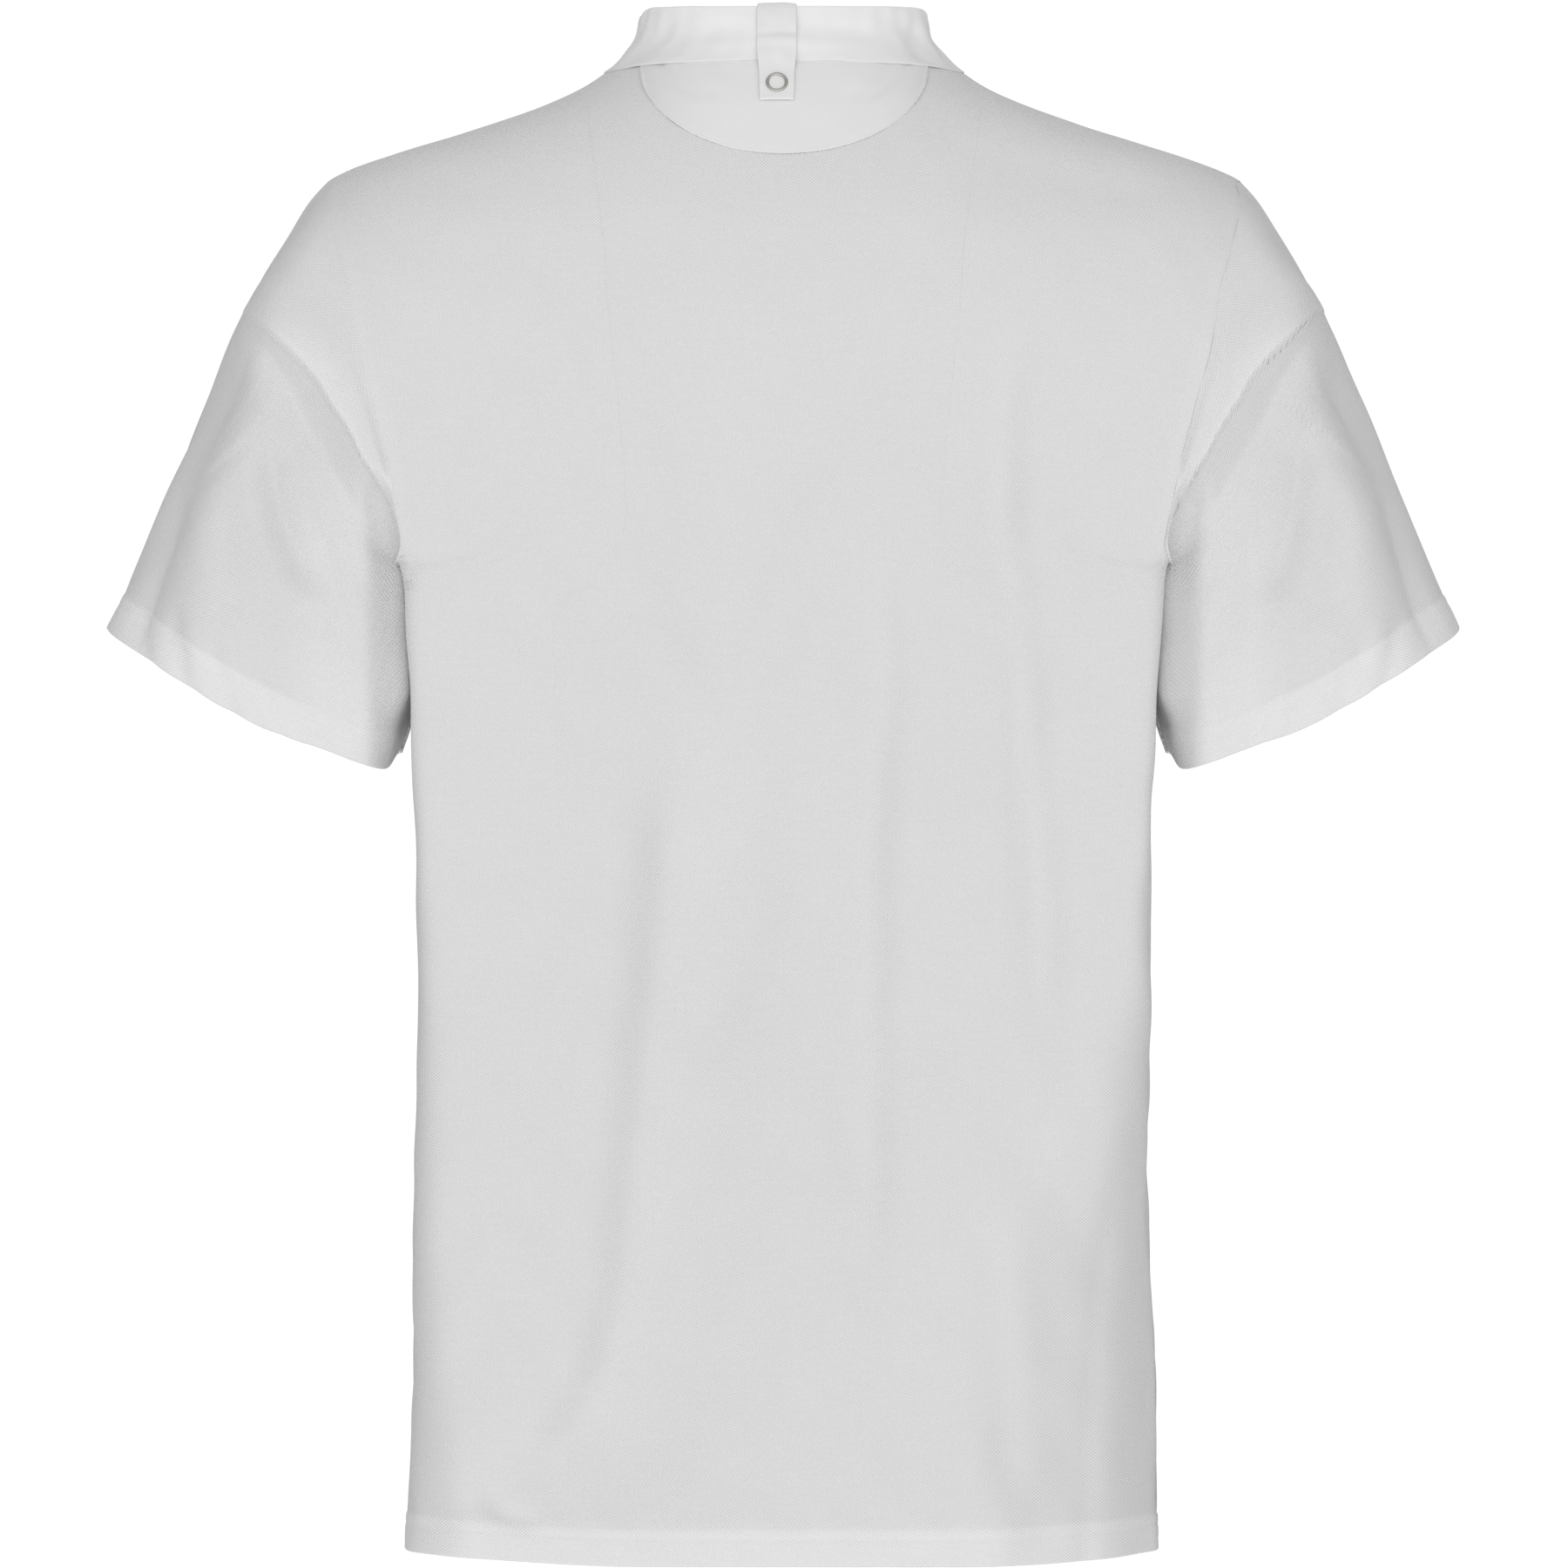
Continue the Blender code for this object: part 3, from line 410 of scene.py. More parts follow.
def clothShell(name, outer, wall, cloth, uv=None, layersAndLight=None, closed=False, keep=None, rounding=1.0):
    # a wall behind a grid of outer points: both faces draw in to the wall's middle along a quarter round
    # at every border, where they share their points, so the shell is closed and its edges are rounded;
    # a rounding under 1 leaves the edge fuller, as where a seam holds it to its neighbour
    rows, columns = outer.shape[:2]
    normals = gridNormals(outer, closed)
    wall = np.broadcast_to(wall, (rows, columns))
    size = rows * columns
    width = columns if closed else columns - 1
    i, j = np.meshgrid(np.arange(rows - 1), np.arange(width), indexing="ij")
    i, j = (i.ravel(), j.ravel()) if keep is None else (i[keep], j[keep])
    right = (j + 1) % columns
    corners = np.stack((i * columns + j, i * columns + right, (i + 1) * columns + right, (i + 1) * columns + j), -1)
    edges = np.sort(np.concatenate([corners[:, [a, (a + 1) % 4]] for a in range(4)]), axis=1)
    lines, uses = np.unique(edges, axis=0, return_counts=True)
    border = np.zeros(size, bool)
    border[lines[uses == 1]] = True
    opened = np.clip(edgeDistance(outer, closed) / (0.6 * wall), 0, 1)
    opened = np.where(border.reshape(rows, columns), 0.0, opened)
    turnedIn = wall / 2 * (1 - np.sqrt(1 - (1 - opened) ** 2))
    front = outer - normals * (turnedIn * rounding)[..., None]
    behind = outer - normals * (wall - turnedIn)[..., None]
    inner = np.where(border, np.arange(size), size + np.arange(size))
    faces = np.concatenate((corners, inner[corners[:, ::-1]]))
    points = np.concatenate((front.reshape(-1, 3), behind.reshape(-1, 3)))
    used, faces = np.unique(faces, return_inverse=True)
    faces = faces.reshape(-1, 4)
    mesh = bpy.data.meshes.new(name)
    mesh.from_pydata((points[used] * mm).tolist(), [], faces.tolist())
    if uv is None:
        uv = gridUv(outer, closed)
    corner = np.stack((uv[i, j], uv[i, j + 1], uv[i + 1, j + 1], uv[i + 1, j]), 1)
    layer = mesh.uv_layers.new(name="cloth")
    layer.data.foreach_set("uv", np.concatenate((corner, corner[:, ::-1])).ravel() * mm)
    # share of the whiter two-layer colour, which on the sleeves and the collar's foot also carries painted light and
    # painted shade
    double = np.zeros((rows, columns)) if layersAndLight is None else np.broadcast_to(layersAndLight, (rows, columns))
    # a border that a seam holds stays crisp, so that no shade runs along it
    held = border & np.broadcast_to(np.asarray(rounding) < 0.5, (rows, columns)).ravel()
    held = np.concatenate((held, held))[used]
    ends = np.empty(2 * len(mesh.edges), np.int32)
    mesh.edges.foreach_get("vertices", ends)
    crisp = mesh.attributes.new("sharp_edge", "BOOLEAN", "EDGE")
    crisp.data.foreach_set("value", held[ends].reshape(-1, 2).all(axis=1))
    mark = mesh.attributes.new("layersAndLight", "FLOAT", "POINT")
    mark.data.foreach_set("value", np.tile(double.ravel(), 2)[used])
    return newPiece(name, mesh, cloth)


def gridUv(points, closed=False):
    # a pattern's place in millimetres: along each row from its middle, and along each column from its foot
    if closed:
        points = np.concatenate((points, points[:, :1]), axis=1)
    right = runLength(points, 1)
    right -= right[:, [points.shape[1] // 2]]
    return np.stack((right, runLength(points, 0)), -1)


def newPiece(name, mesh, material):
    mesh.shade_smooth()
    mesh.materials.append(material)
    piece = bpy.data.objects.new(name, mesh)
    bpy.context.scene.collection.objects.link(piece)
    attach(piece, "root")
    return piece


# materials

def linear(code):
    # sRGB hex to linear colour
    parts = [int(code[at:at + 2], 16) / 255 for at in (1, 3, 5)]
    return [part / 12.92 if part <= 0.04045 else ((part + 0.055) / 1.055) ** 2.4 for part in parts] + [1.0]


def addNode(tree, kind, inputs=None, **settings):
    node = tree.nodes.new(kind)
    for name, value in settings.items():
        setattr(node, name, value)
    for name, value in (inputs or {}).items():
        if isinstance(value, bpy.types.NodeSocket):
            tree.links.new(value, node.inputs[name])
        else:
            node.inputs[name].default_value = value
    return node


def newMaterial(name):
    material = bpy.data.materials.new(name)
    material.use_nodes = True
    tree = material.node_tree
    return material, tree, tree.nodes["Principled BSDF"]


def mathNode(tree, operation, *values):
    return addNode(tree, "ShaderNodeMath", dict(enumerate(values)), operation=operation).outputs[0]


def noiseNode(tree, place, scale, detail):
    return addNode(tree, "ShaderNodeTexNoise", {"Vector": place, "Scale": scale, "Detail": detail}).outputs["Fac"]


pique = {
    "single": "#e4e4e4", "double": "#ededed",       # one layer lets a little light through, a hem's two less; on the sleeves the whiter one is also painted light
    "wide": 1.9, "tall": 1.55,                      # pitch of the raised honeycomb
    "relief": 0.16, "roughness": 0.86, "sheen": 0.12,
}
poplin = {
    # the woven cloth's greyer single colour is also painted as shade at the collar's foot
    "single": "#ebebeb", "double": "#f5f5f5",
    "thread": 0.42,                                 # pitch of the weave
    "relief": 0.03, "roughness": 0.78, "sheen": 0.08,
}
nickel = {"colour": "#b9b7b2", "roughness": 0.24, "scratch": 0.3}


def finishCloth(tree, shader, cloth, height, tone):
    # bump from the height; the colour is the single or two-layer cloth's, whose share also paints light and shade on
    # some pieces, times a slight tone
    bump = addNode(tree, "ShaderNodeBump", {"Height": height, "Strength": 1.0, "Distance": cloth["relief"] * mm})
    layers = addNode(tree, "ShaderNodeAttribute", attribute_name="layersAndLight")
    base = addNode(tree, "ShaderNodeMix", {0: layers.outputs["Fac"], 6: linear(cloth["single"]),
                                           7: linear(cloth["double"])}, data_type="RGBA")
    colour = addNode(tree, "ShaderNodeVectorMath", {0: base.outputs[2], 1: tone}, operation="MULTIPLY")
    tree.links.new(colour.outputs[0], shader.inputs["Base Color"])
    tree.links.new(bump.outputs[0], shader.inputs["Normal"])
    shader.inputs["Roughness"].default_value = cloth["roughness"]
    shader.inputs["Sheen Weight"].default_value = cloth["sheen"]
    shader.inputs["Specular IOR Level"].default_value = 0.3


def makePique():
    # cotton pique, weft knitted: tuck stitches raise a lattice of small bumps, matt with a faint nap
    material, tree, shader = newMaterial("whitePiqueKnit")
    place = addNode(tree, "ShaderNodeUVMap", uv_map="cloth").outputs["UV"]
    split = addNode(tree, "ShaderNodeSeparateXYZ", {0: place})
    swing = mathNode(tree, "MULTIPLY", noiseNode(tree, place, 60.0, 2.0), 2.2)
    waves = []
    for axis, pitch in (("X", pique["wide"]), ("Y", pique["tall"])):
        turns = mathNode(tree, "MULTIPLY", split.outputs[axis], 2 * math.pi / (pitch * mm))
        waves.append(mathNode(tree, "COSINE", mathNode(tree, "ADD", turns, swing)))
    lattice = mathNode(tree, "MULTIPLY", *waves)
    height = mathNode(tree, "MULTIPLY_ADD", noiseNode(tree, place, 1400.0, 3.0), 0.8, lattice)
    streak = addNode(tree, "ShaderNodeMapping", {"Vector": place, "Scale": (9.0, 90.0, 1.0)}).outputs[0]
    shade = addNode(tree, "ShaderNodeMapRange", {"Value": noiseNode(tree, streak, 6.0, 4.0),
                                                 "To Min": 0.975, "To Max": 1.015})
    # the knit's pits are painted up to 7 percent darker, as painted shade in its hollows
    pitShade = addNode(tree, "ShaderNodeMapRange", {"Value": lattice, "From Min": -1.0, "From Max": 0.4,
                                                "To Min": 0.93, "To Max": 1.0})
    finishCloth(tree, shader, pique, height, mathNode(tree, "MULTIPLY", shade.outputs[0], pitShade.outputs[0]))
    return material


def makePoplin():
    # close plain-woven cotton: whiter and smoother than the knit, its threads only just show
    material, tree, shader = newMaterial("whiteWovenPoplin")
    place = addNode(tree, "ShaderNodeUVMap", uv_map="cloth").outputs["UV"]
    split = addNode(tree, "ShaderNodeSeparateXYZ", {0: place})
    pitch = 2 * math.pi / (poplin["thread"] * mm)
    waves = [mathNode(tree, "SINE", mathNode(tree, "MULTIPLY", split.outputs[axis], pitch)) for axis in "XY"]
    weave = mathNode(tree, "MULTIPLY", *waves)
    height = mathNode(tree, "MULTIPLY_ADD", noiseNode(tree, place, 420.0, 4.0), 2.0, weave)
    shade = addNode(tree, "ShaderNodeMapRange", {"Value": noiseNode(tree, place, 55.0, 3.0),
                                                 "To Min": 0.98, "To Max": 1.012})
    finishCloth(tree, shader, poplin, height, shade.outputs[0])
    return material


def makeNickel():
    # nickel-plated brass, pressed and tumbled: a soft mirror with fine scratches
    material, tree, shader = newMaterial("nickelPlatedBrass")
    grain = noiseNode(tree, addNode(tree, "ShaderNodeTexCoord").outputs["Object"], 900.0, 4.0)
    worn = addNode(tree, "ShaderNodeMapRange", {"Value": grain, "To Min": nickel["roughness"] - 0.08,
                                                "To Max": nickel["roughness"] + 0.12})
    bump = addNode(tree, "ShaderNodeBump", {"Height": grain, "Strength": nickel["scratch"], "Distance": 0.02 * mm})
    tree.links.new(worn.outputs[0], shader.inputs["Roughness"])
    tree.links.new(bump.outputs[0], shader.inputs["Normal"])
    shader.inputs["Base Color"].default_value = linear(nickel["colour"])
    shader.inputs["Metallic"].default_value = 1.0
    return material


piqueKnit, poplinCloth, nickelPlate = makePique(), makePoplin(), makeNickel()
print("materials made")


# hems and seams, worked into the outer faces

hem = {"stitchRows": (19.0, 13.5), "groove": 0.28, "grooveReach": 1.1, "swell": 0.35, "pucker": 0.22}


hemRows = ((1.6, 0.4), (4, 1.2), (11, 2.4), (21, 0.9), (24, 1.5))      # rows lie closer at the edge and the stitches


def hemRelief(fromEdge, along, seed):
    # the turned-up hem stands a little proud, its stitches draw a groove, and both sides of it pucker
    turned = easeStep(hem["stitchRows"][0] + 1.2, hem["stitchRows"][0] - 1.2, fromEdge)
    relief = hem["swell"] * turned
    for row in hem["stitchRows"]:
        relief = relief - hem["groove"] * bell(fromEdge - row, hem["grooveReach"])
    drawn = unevenness(along, fromEdge * 0.4, seed, (9, 26), count=14)
    strength = 0.35 + 0.65 * easeStep(-0.6, 1.2, unevenness(along, 0 * along, seed + 1, (70, 190), count=7))
    near = bell(fromEdge - hem["stitchRows"][0], 9.0) + 0.7 * easeStep(16, 6, fromEdge)
    return relief + hem["pucker"] * strength * drawn * near, turned


# back and front

panel = {"long": 816.7, "evenTo": 812, "rowStep": 3.35, "half": 250, "halfEvenTo": 246, "columnStep": 3.3}


def makePanel(name, side):
    rows = spread(0, *hemRows, (panel["evenTo"], panel["rowStep"]), (panel["long"], 1.2)) / panel["long"]
    half = spread(0, (panel["halfEvenTo"], panel["columnStep"]), (panel["half"], 1.0)) / panel["half"]
    if side == "back":
        across = np.concatenate((half[:0:-1], -half))
    else:
        half[0] = body["slitHalf"] / bodySize["halfWidth"](body["underarm"])
        across = np.concatenate((-half[::-1], half))
    turn, height = panelPlace(across, rows, side)
    form = bodyForm(turn, height)
    fromHem = height - body["hem"]
    around = gridUv(form)[..., 0] + (300 if side == "back" else -300)
    raised, turned = hemRelief(fromHem, around, 21 if side == "back" else 31)
    sideAway = np.linalg.norm(form - form[:, [0]], axis=-1)
    sideAway = np.minimum(sideAway, np.linalg.norm(form - form[:, [-1]], axis=-1))
    allowance = 0.12 * easeStep(0.5, 2.0, sideAway) * easeStep(9.0, 6.0, sideAway)
    points = bodyPoint(turn, height, raised + allowance)
    wall = body["wall"] + body["hemExtra"] * turned
    keep = None
    if side == "front":
        middle = len(half) - 1
        keep = np.ones((len(rows) - 1, len(across) - 1), bool)
        keep[:, middle] = height[1:, middle] < body["slitEnd"]
    tangent = unit(acrossForm(turn, height))
    step = np.diff(form, axis=0)
    onRing = (step * tangent[1:]).sum(-1)
    rise = np.sqrt(np.maximum((step ** 2).sum(-1) - onRing ** 2, 0))
    up = np.concatenate((np.zeros((1, rise.shape[1])), np.cumsum(rise, axis=0)))
    uv = np.stack((gridUv(form)[..., 0], up), -1)
    double = np.maximum(turned, easeStep(0.3, 1.0, sideAway) * easeStep(8.0, 5.0, sideAway) * 0.15)
    atOpening = (fromHem < 12) | (np.abs(form[..., 0]) < 95)
    return clothShell(name, points, wall, piqueKnit, uv, double, keep=keep,
                      rounding=np.where(atOpening, 1.0, body["seamRound"]))


for name, side in (("back_panel", "back"), ("front_panel", "front")):
    piece = makePanel(name + "_cloth", side)
    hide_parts(name)
print("panels made")


# sleeves: rings from the armhole (0) to the cuff (1); top is the outer edge, under the seam

sleeveRings = {
    "along":  [0.0, 0.05, 0.13, 0.25, 0.5, 0.75, 1.0],
    "topX":   [230.0, 238.4, 249.6, 263.6, 288.6, 311.4, 336.4],
    "topZ":   [-54.0, -62.8, -81.0, -108.0, -166.0, -222.0, -276.2],
    "underX": [190.0, 190.0, 189.4, 188.6, 187.4, 187.0, 192.0],
    "underZ": [-248.5, -253.5, -262.0, -275.0, -300.0, -320.5, -338.0],
    "back":   [88, 89, 91, 92, 91, 88, 81],
    "front":  [80, 75, 67, 59, 51, 47, 44],
    "square": [4.4, 5.2, 5.6, 5.0, 3.8, 3.0, 2.7],
    "inner":  [4.5, 4.4, 4.6, 6.0, 14.0, 20.0, 14.0],
}
sleeve = {
    "bow": {"back": 14.2, "front": 3.0}, "fade": 0.4, "wall": 1.2, "blur": 0.02, "clear": 0.3, "press": 18.0,
    "columns": 250, "long": 232.0,
    "beside": (-238, -252), "free": (-326, -306),       # heights where the body starts and stops to press on it
    "straight": (235, 210),                             # x over which folds turn from the normal to pure depth
    "fallLimit": 15.0, "fallShare": 0.75,               # the most that the bends move it, in mm and of its depth
}
sleeveSize = {key: smoothCurve(sleeveRings["along"], values, sleeve["blur"])
              for key, values in sleeveRings.items() if key != "along"}

# where the lips of the large sleeve folds end, hidden beside the torso
backLipEnd = [(190, -226), (183, -240), (168, -262), (164, -400)]
frontLipEnd = [(180, -252), (168, -275), (164, -400)]
sleeveFolds = {
    "left": {
        "back": [
            ("overlap", [(278, -113), (266, -122), (254, -132), (243, -142), (230, -156), (222, -169), (213, -182),
                         (207, -195), (200, -206), (194, -217)] + backLipEnd, 18.0, 16, 76),
            ("crease", [(258, -126), (270, -144), (282, -164), (293, -184), (302, -204), (307, -226), (314, -251),
                        (319, -277), (326, -306)], 9.0, 40, 8),
            ("crease", [(254, -180), (252, -200), (246, -222), (238, -242), (228, -266)], 8.0, 14, 9),
            ("trough", [(303, -262), (298, -288), (288, -330)], 2.2, 5, 6),
            ("trough", [(284, -276), (277, -302), (266, -342)], 2.0, 5, 5),
            ("trough", [(262, -290), (255, -314), (243, -352)], 1.8, 5, 6),
            ("trough", [(324, -262), (318, -284), (308, -318)], 1.8, 4, 5),
            ("trough", [(272, -196), (275, -236), (268, -286)], 2.2, 12, 10),
            ("trough", [(222, -232), (218, -262), (222, -292)], 1.6, 8, 9),
        ],
        "front": [
            ("overlap", [(284, -104), (258, -130), (232, -160), (212, -194), (196, -228)] + frontLipEnd, 8.0, 10, 62),
            ("trough", [(284, -150), (296, -210), (308, -280)], 5.0, 11, 9),
            ("trough", [(250, -206), (244, -240), (232, -282)], 4.0, 10, 12),
        ],
    },
    "right": {
        "back": [
            ("overlap", [(280, -110), (268, -119), (255, -130), (244, -140), (231, -154), (223, -167), (214, -181),
                         (207, -194), (201, -205), (195, -216)] + backLipEnd, 18.5, 16, 74),
            ("crease", [(258, -124), (269, -142), (281, -162), (292, -181), (301, -202), (306, -224), (312, -250),
                        (318, -278), (325, -308)], 8.8, 38, 9),
            ("crease", [(256, -176), (253, -200), (249, -224), (243, -246), (235, -270)], 7.0, 15, 10),
            ("trough", [(306, -264), (300, -290), (291, -330)], 2.0, 5, 5),
            ("trough", [(287, -272), (281, -300), (271, -342)], 1.7, 6, 5),
            ("trough", [(250, -296), (244, -318), (234, -354)], 2.0, 5, 7),
            ("trough", [(268, -200), (272, -240), (264, -284)], 2.8, 10, 11),
            ("trough", [(224, -236), (218, -266), (214, -296)], 1.8, 9, 8),
        ],
        "front": [
            ("overlap", [(286, -102), (260, -127), (234, -157), (214, -192), (197, -226)] + frontLipEnd, 8.4, 11, 60),
            ("trough", [(286, -146), (298, -208), (306, -278)], 4.6, 12, 10),
            ("trough", [(252, -202), (243, -238), (236, -280)], 4.2, 9, 12),
        ],
    },
}
sleeveBend = [
    ([(211, -200), (208, -216), (205, -232), (204, -250), (203, -299), (203, -325), (203, -352)], 2.2, 1.5, -1, 0),
    ([(248, -112), (260, -138), (272, -165), (281, -190), (288, -210), (293, -226)], 0.7, 5.0, 1, 0.45),
]


def sleeveRing(around, along):
    # ring of the left sleeve: around 0 is its outer edge, 90 degrees its back
    top = np.stack((sleeveSize["topX"](along), 0 * along, sleeveSize["topZ"](along)), -1)
    under = np.stack((sleeveSize["underX"](along), 0 * along, sleeveSize["underZ"](along)), -1)
    behind = np.sin(around) > 0
    depth = np.where(behind, sleeveSize["back"](along), sleeveSize["front"](along))
    square = sleeveSize["square"](along)
    square = square + (sleeveSize["inner"](along) - square) * easeStep(0.3, -0.5, np.cos(around))
    reach = ringReach(around, square)
    point = (top + under) / 2 + (top - under) / 2 * (np.cos(around) * reach)[..., None]
    point[..., 1] += depth * np.sin(around) * reach
    # the cuff's edge bows down, most on the side nearer the body
    bow = np.where(behind, sleeve["bow"]["back"], sleeve["bow"]["front"]) * along ** 2
    bow = bow * np.abs(np.sin(around)) ** 1.5 * (1 - 0.5 * np.cos(around))
    down = unit(np.cross(top - under, np.array((0.0, 1.0, 0.0))))
    return point - down * bow[..., None]


def armholeLoop(around):
    # the armhole seam as a loop of points, the same line as the panels' edges
    back, backHeight = armhole(around, "back")
    front, frontHeight = armhole(around, "front")
    behind = np.sin(around) > 0
    return bodyPoint(np.where(behind, back, front), np.where(behind, backHeight, frontHeight))


def sleeveForm(around, along):
    # left sleeve: it leaves the armhole seam and fades into its own rings
    around, along = np.broadcast_arrays(around, along)
    own = sleeveRing(around, along)
    shift = armholeLoop(around[0]) - sleeveRing(around[0], 0 * along[0])
    return own + shift[None] * (1 - easeStep(0.0, sleeve["fade"], along))[..., None]


def besideBody(points):
    # x of the sleeve's points once its inner side is pressed against the body, down to where it hangs free
    x, y, z = points[..., 0], points[..., 1], points[..., 2]
    depth = np.where(y > 0, bodySize["back"](z), bodySize["front"](z))
    square = np.where(y > 0, bodySize["backSquare"](z), bodySize["frontSquare"](z))
    bodyX = bodySize["halfWidth"](z) * np.clip(1 - np.abs(y / depth) ** square, 0, 1) ** (1 / square)
    gap = x - bodyX - sleeve["clear"]
    reach = sleeve["press"]
    pressed = np.where(gap > 0, gap * easeStep(0.3 * reach, reach, gap), 0)
    hold = easeStep(*sleeve["free"], z)
    near = (gap < reach) & (np.abs(y) < depth)
    beside = np.where(near, bodyX + sleeve["clear"] + np.where(gap > 0, gap + (pressed - gap) * hold, 0), x)
    return x + (beside - x) * easeStep(*sleeve["beside"], z)


def makeSleeve(side, sign):
    # columns start at the under seam and go round by the front and the outer edge to the back
    around = math.pi + np.arange(sleeve["columns"]) * 2 * math.pi / sleeve["columns"]
    along = 1 - spread(0, *hemRows, (sleeve["long"] - 3, 2.0), (sleeve["long"], 1.0)) / sleeve["long"]
    form = sleeveForm(around[None, :], along[:, None])
    normal = gridNormals(form, closed=True)
    x, y, z = form[..., 0], form[..., 1], form[..., 2]
    behind = easeStep(-8, 8, y)
    relief = (foldRelief(sleeveFolds[side]["back"], x, z) * behind
              + foldRelief(sleeveFolds[side]["front"], x, z) * (1 - behind))
    depth = np.where(y > 0, sleeveSize["back"](along)[:, None], sleeveSize["front"](along)[:, None])
    relief *= easeStep(0.0, 0.05, along[:, None]) * easeStep(0.25, 0.7, np.abs(y) / depth)
    seed = 40 if side == "left" else 50
    relief += 0.4 * unevenness(x + y, z, seed, (30, 80), stretch=1.8) * easeStep(0.0, 0.15, along[:, None])
    up = gridUv(form, closed=True)
    fromEdge = up[:, :-1, 1]
    raised, turned = hemRelief(fromEdge, up[:, :-1, 0], seed + 2)
    # folds move the cloth along its normal, but straight in depth where it lies beside the body
    inDepth = np.stack((0 * x, np.sign(y), 0 * x), -1)
    heading = normal + (inDepth - normal) * easeStep(*sleeve["straight"], x)[..., None]
    outer = form + heading * (relief + raised)[..., None]
    outer[..., 0] = besideBody(outer)
    fallen = slump(sleeveBend, outer[..., 0], z, 0.12) * easeStep(0.0, 0.12, along[:, None])
    fallen = sleeve["fallLimit"] * np.tanh(fallen / sleeve["fallLimit"])
    outer[..., 1] -= np.sign(y) * np.minimum(fallen, sleeve["fallShare"] * np.abs(y))
    wall = sleeve["wall"] + body["hemExtra"] * turned
    # the cloth is painted whiter above the lip, partly as the fold lying over itself and partly as painted light on
    # the lit ridge, and down the inner side as painted light where it lies in shade beside the body
    lip = alongPath(sleeveFolds[side]["back"][0][1], x, z)[0]
    folded = 0.9 * easeStep(1.5, -1.5, lip) * easeStep(-30, -4, lip) * easeStep(-110, -150, z)
    inner = 0.8 * easeStep(252, 222, x) * easeStep(-185, -235, z) * easeStep(12, 20, lip)
    layersAndLight = np.maximum(turned, (folded + inner) * behind)
    uv = up
    if sign < 0:            # mirrored to the wearer's right, with its columns turned round to face outwards
        outer, wall, layersAndLight, uv = outer[:, ::-1] * (-1, 1, 1), wall[:, ::-1], layersAndLight[:, ::-1], uv[:, ::-1]
    return clothShell(side + "_sleeve_cloth", outer, wall, piqueKnit, uv, layersAndLight, closed=True,
                      rounding=np.where(fromEdge < 12, 1.0, body["seamRound"]))


for side, sign in (("left", 1.0), ("right", -1.0)):
    piece = makeSleeve(side, sign)
    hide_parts(side + "_sleeve")
print("sleeves made")

# collar: a folded band standing on the neckline, its left end lapped over its right at the front

collarLoops = {
    "up":        [0.0, 0.22, 0.45, 1.0],
    "halfWidth": [88.0, 80.6, 75.8, 71.4],
    "back":      [59.5, 58.6, 56.4, 50.6],
    "front":     [67.0, 66.4, 65.0, 61.0],
    "sideZ":     [0.8, 8.4, 15.6, 32.6],
    "backZ":     [4.2, 9.6, 15.4, 30.6],
    "frontZ":    [-51.6, -45.0, -38.0, -22.0],
}
collar = {
    "lap": 15.0, "over": 1.9,               # past the centre front, and down over the panels
    "proud": 0.6, "overPatch": 0.9, "overPlacket": 1.5, "dive": (222, 252),     # the under end dives at these turns
    "fade": 0.4, "drop": 1.6, "corner": 3.2, "wall": 2.2, "foot": 1.0, "blur": 0.03,
}
collarSize = {key: smoothCurve(collarLoops["up"], values, collar["blur"])
              for key, values in collarLoops.items() if key != "up"}
# pinches where the band turns over the shoulders: turn round the neck in degrees, depth and width
collarPinches = [(8, 1.0, 5.0), (20, -0.6, 7.0), (34, 0.7, 6.0), (62, 0.5, 9.0), (118, 0.6, 9.0), (146, 2.0, 5.5),
                 (157, -0.8, 6.0), (169, 1.9, 6.0), (196, 0.8, 7.0), (238, 0.6, 8.0), (-22, 0.8, 7.0), (-58, 0.6, 8.0)]


def collarLoop(around, up):
    # loop round the neck: -90 degrees the centre front, 0 the wearer's left, 90 the centre back
    sine = np.sin(around)
    behind = sine > 0
    depth = np.where(behind, collarSize["back"](up), collarSize["front"](up))
    endZ = np.where(behind, collarSize["backZ"](up), collarSize["frontZ"](up))
    sideZ = collarSize["sideZ"](up)
    height = sideZ + (endZ - sideZ) * np.abs(sine) ** collar["drop"]
    height = height - collar["corner"] * bell(sine, 0.22) * up ** 2
    return np.stack((collarSize["halfWidth"](up) * np.cos(around), depth * sine, height), -1)


def neckSeam(around):
    # the neckline, stood out a little so that the band's foot laps over the panels
    across, behind = np.abs(np.cos(around)), np.sin(around) > 0
    height = np.where(behind, neckHeight(across, "back"), neckHeight(across, "front"))
    over = collar["over"]
    x = (body["neckHalfWidth"] + 0.9 * over) * np.cos(around)
    height = height - over * (0.5 + 0.5 * np.abs(np.sin(around)))
    turn = np.where(behind, turnAt(x, height, "back"), turnAt(x, height, "front"))
    sine = np.sin(around)
    proud = (collar["proud"] + collar["overPatch"] * easeStep(0.42, 0.62, sine)
             + collar["overPlacket"] * easeStep(0.93, 0.98, -sine))
    return bodyPoint(turn, height, proud)


def collarPoint(around, up, lift=0.0):
    around, up = np.broadcast_arrays(around, up)
    shift = neckSeam(around) - collarLoop(around, 0 * up)
    base = collarLoop(around, up) + shift * (1 - easeStep(0.0, collar["fade"], up))[..., None]
    outward = np.stack((np.cos(around), np.sin(around), 0 * around), -1)
    return base + outward * np.broadcast_to(lift, around.shape)[..., None]


def collarRelief(around, up):
    # a soft roll a third of the way up, pinches over the shoulders and slight waves
    degrees = np.degrees(around)
    relief = 0.9 * bell(up - 0.33, 0.14) - 0.35 * bell(up - 0.58, 0.16)
    for middle, depth, width in collarPinches:
        relief = relief - depth * bell(degrees - middle - 14 * (up - 0.3), width) * easeStep(1.0, 0.25, up)
    return relief + 0.3 * unevenness(around * 80, up * 30, 61, (14, 60))


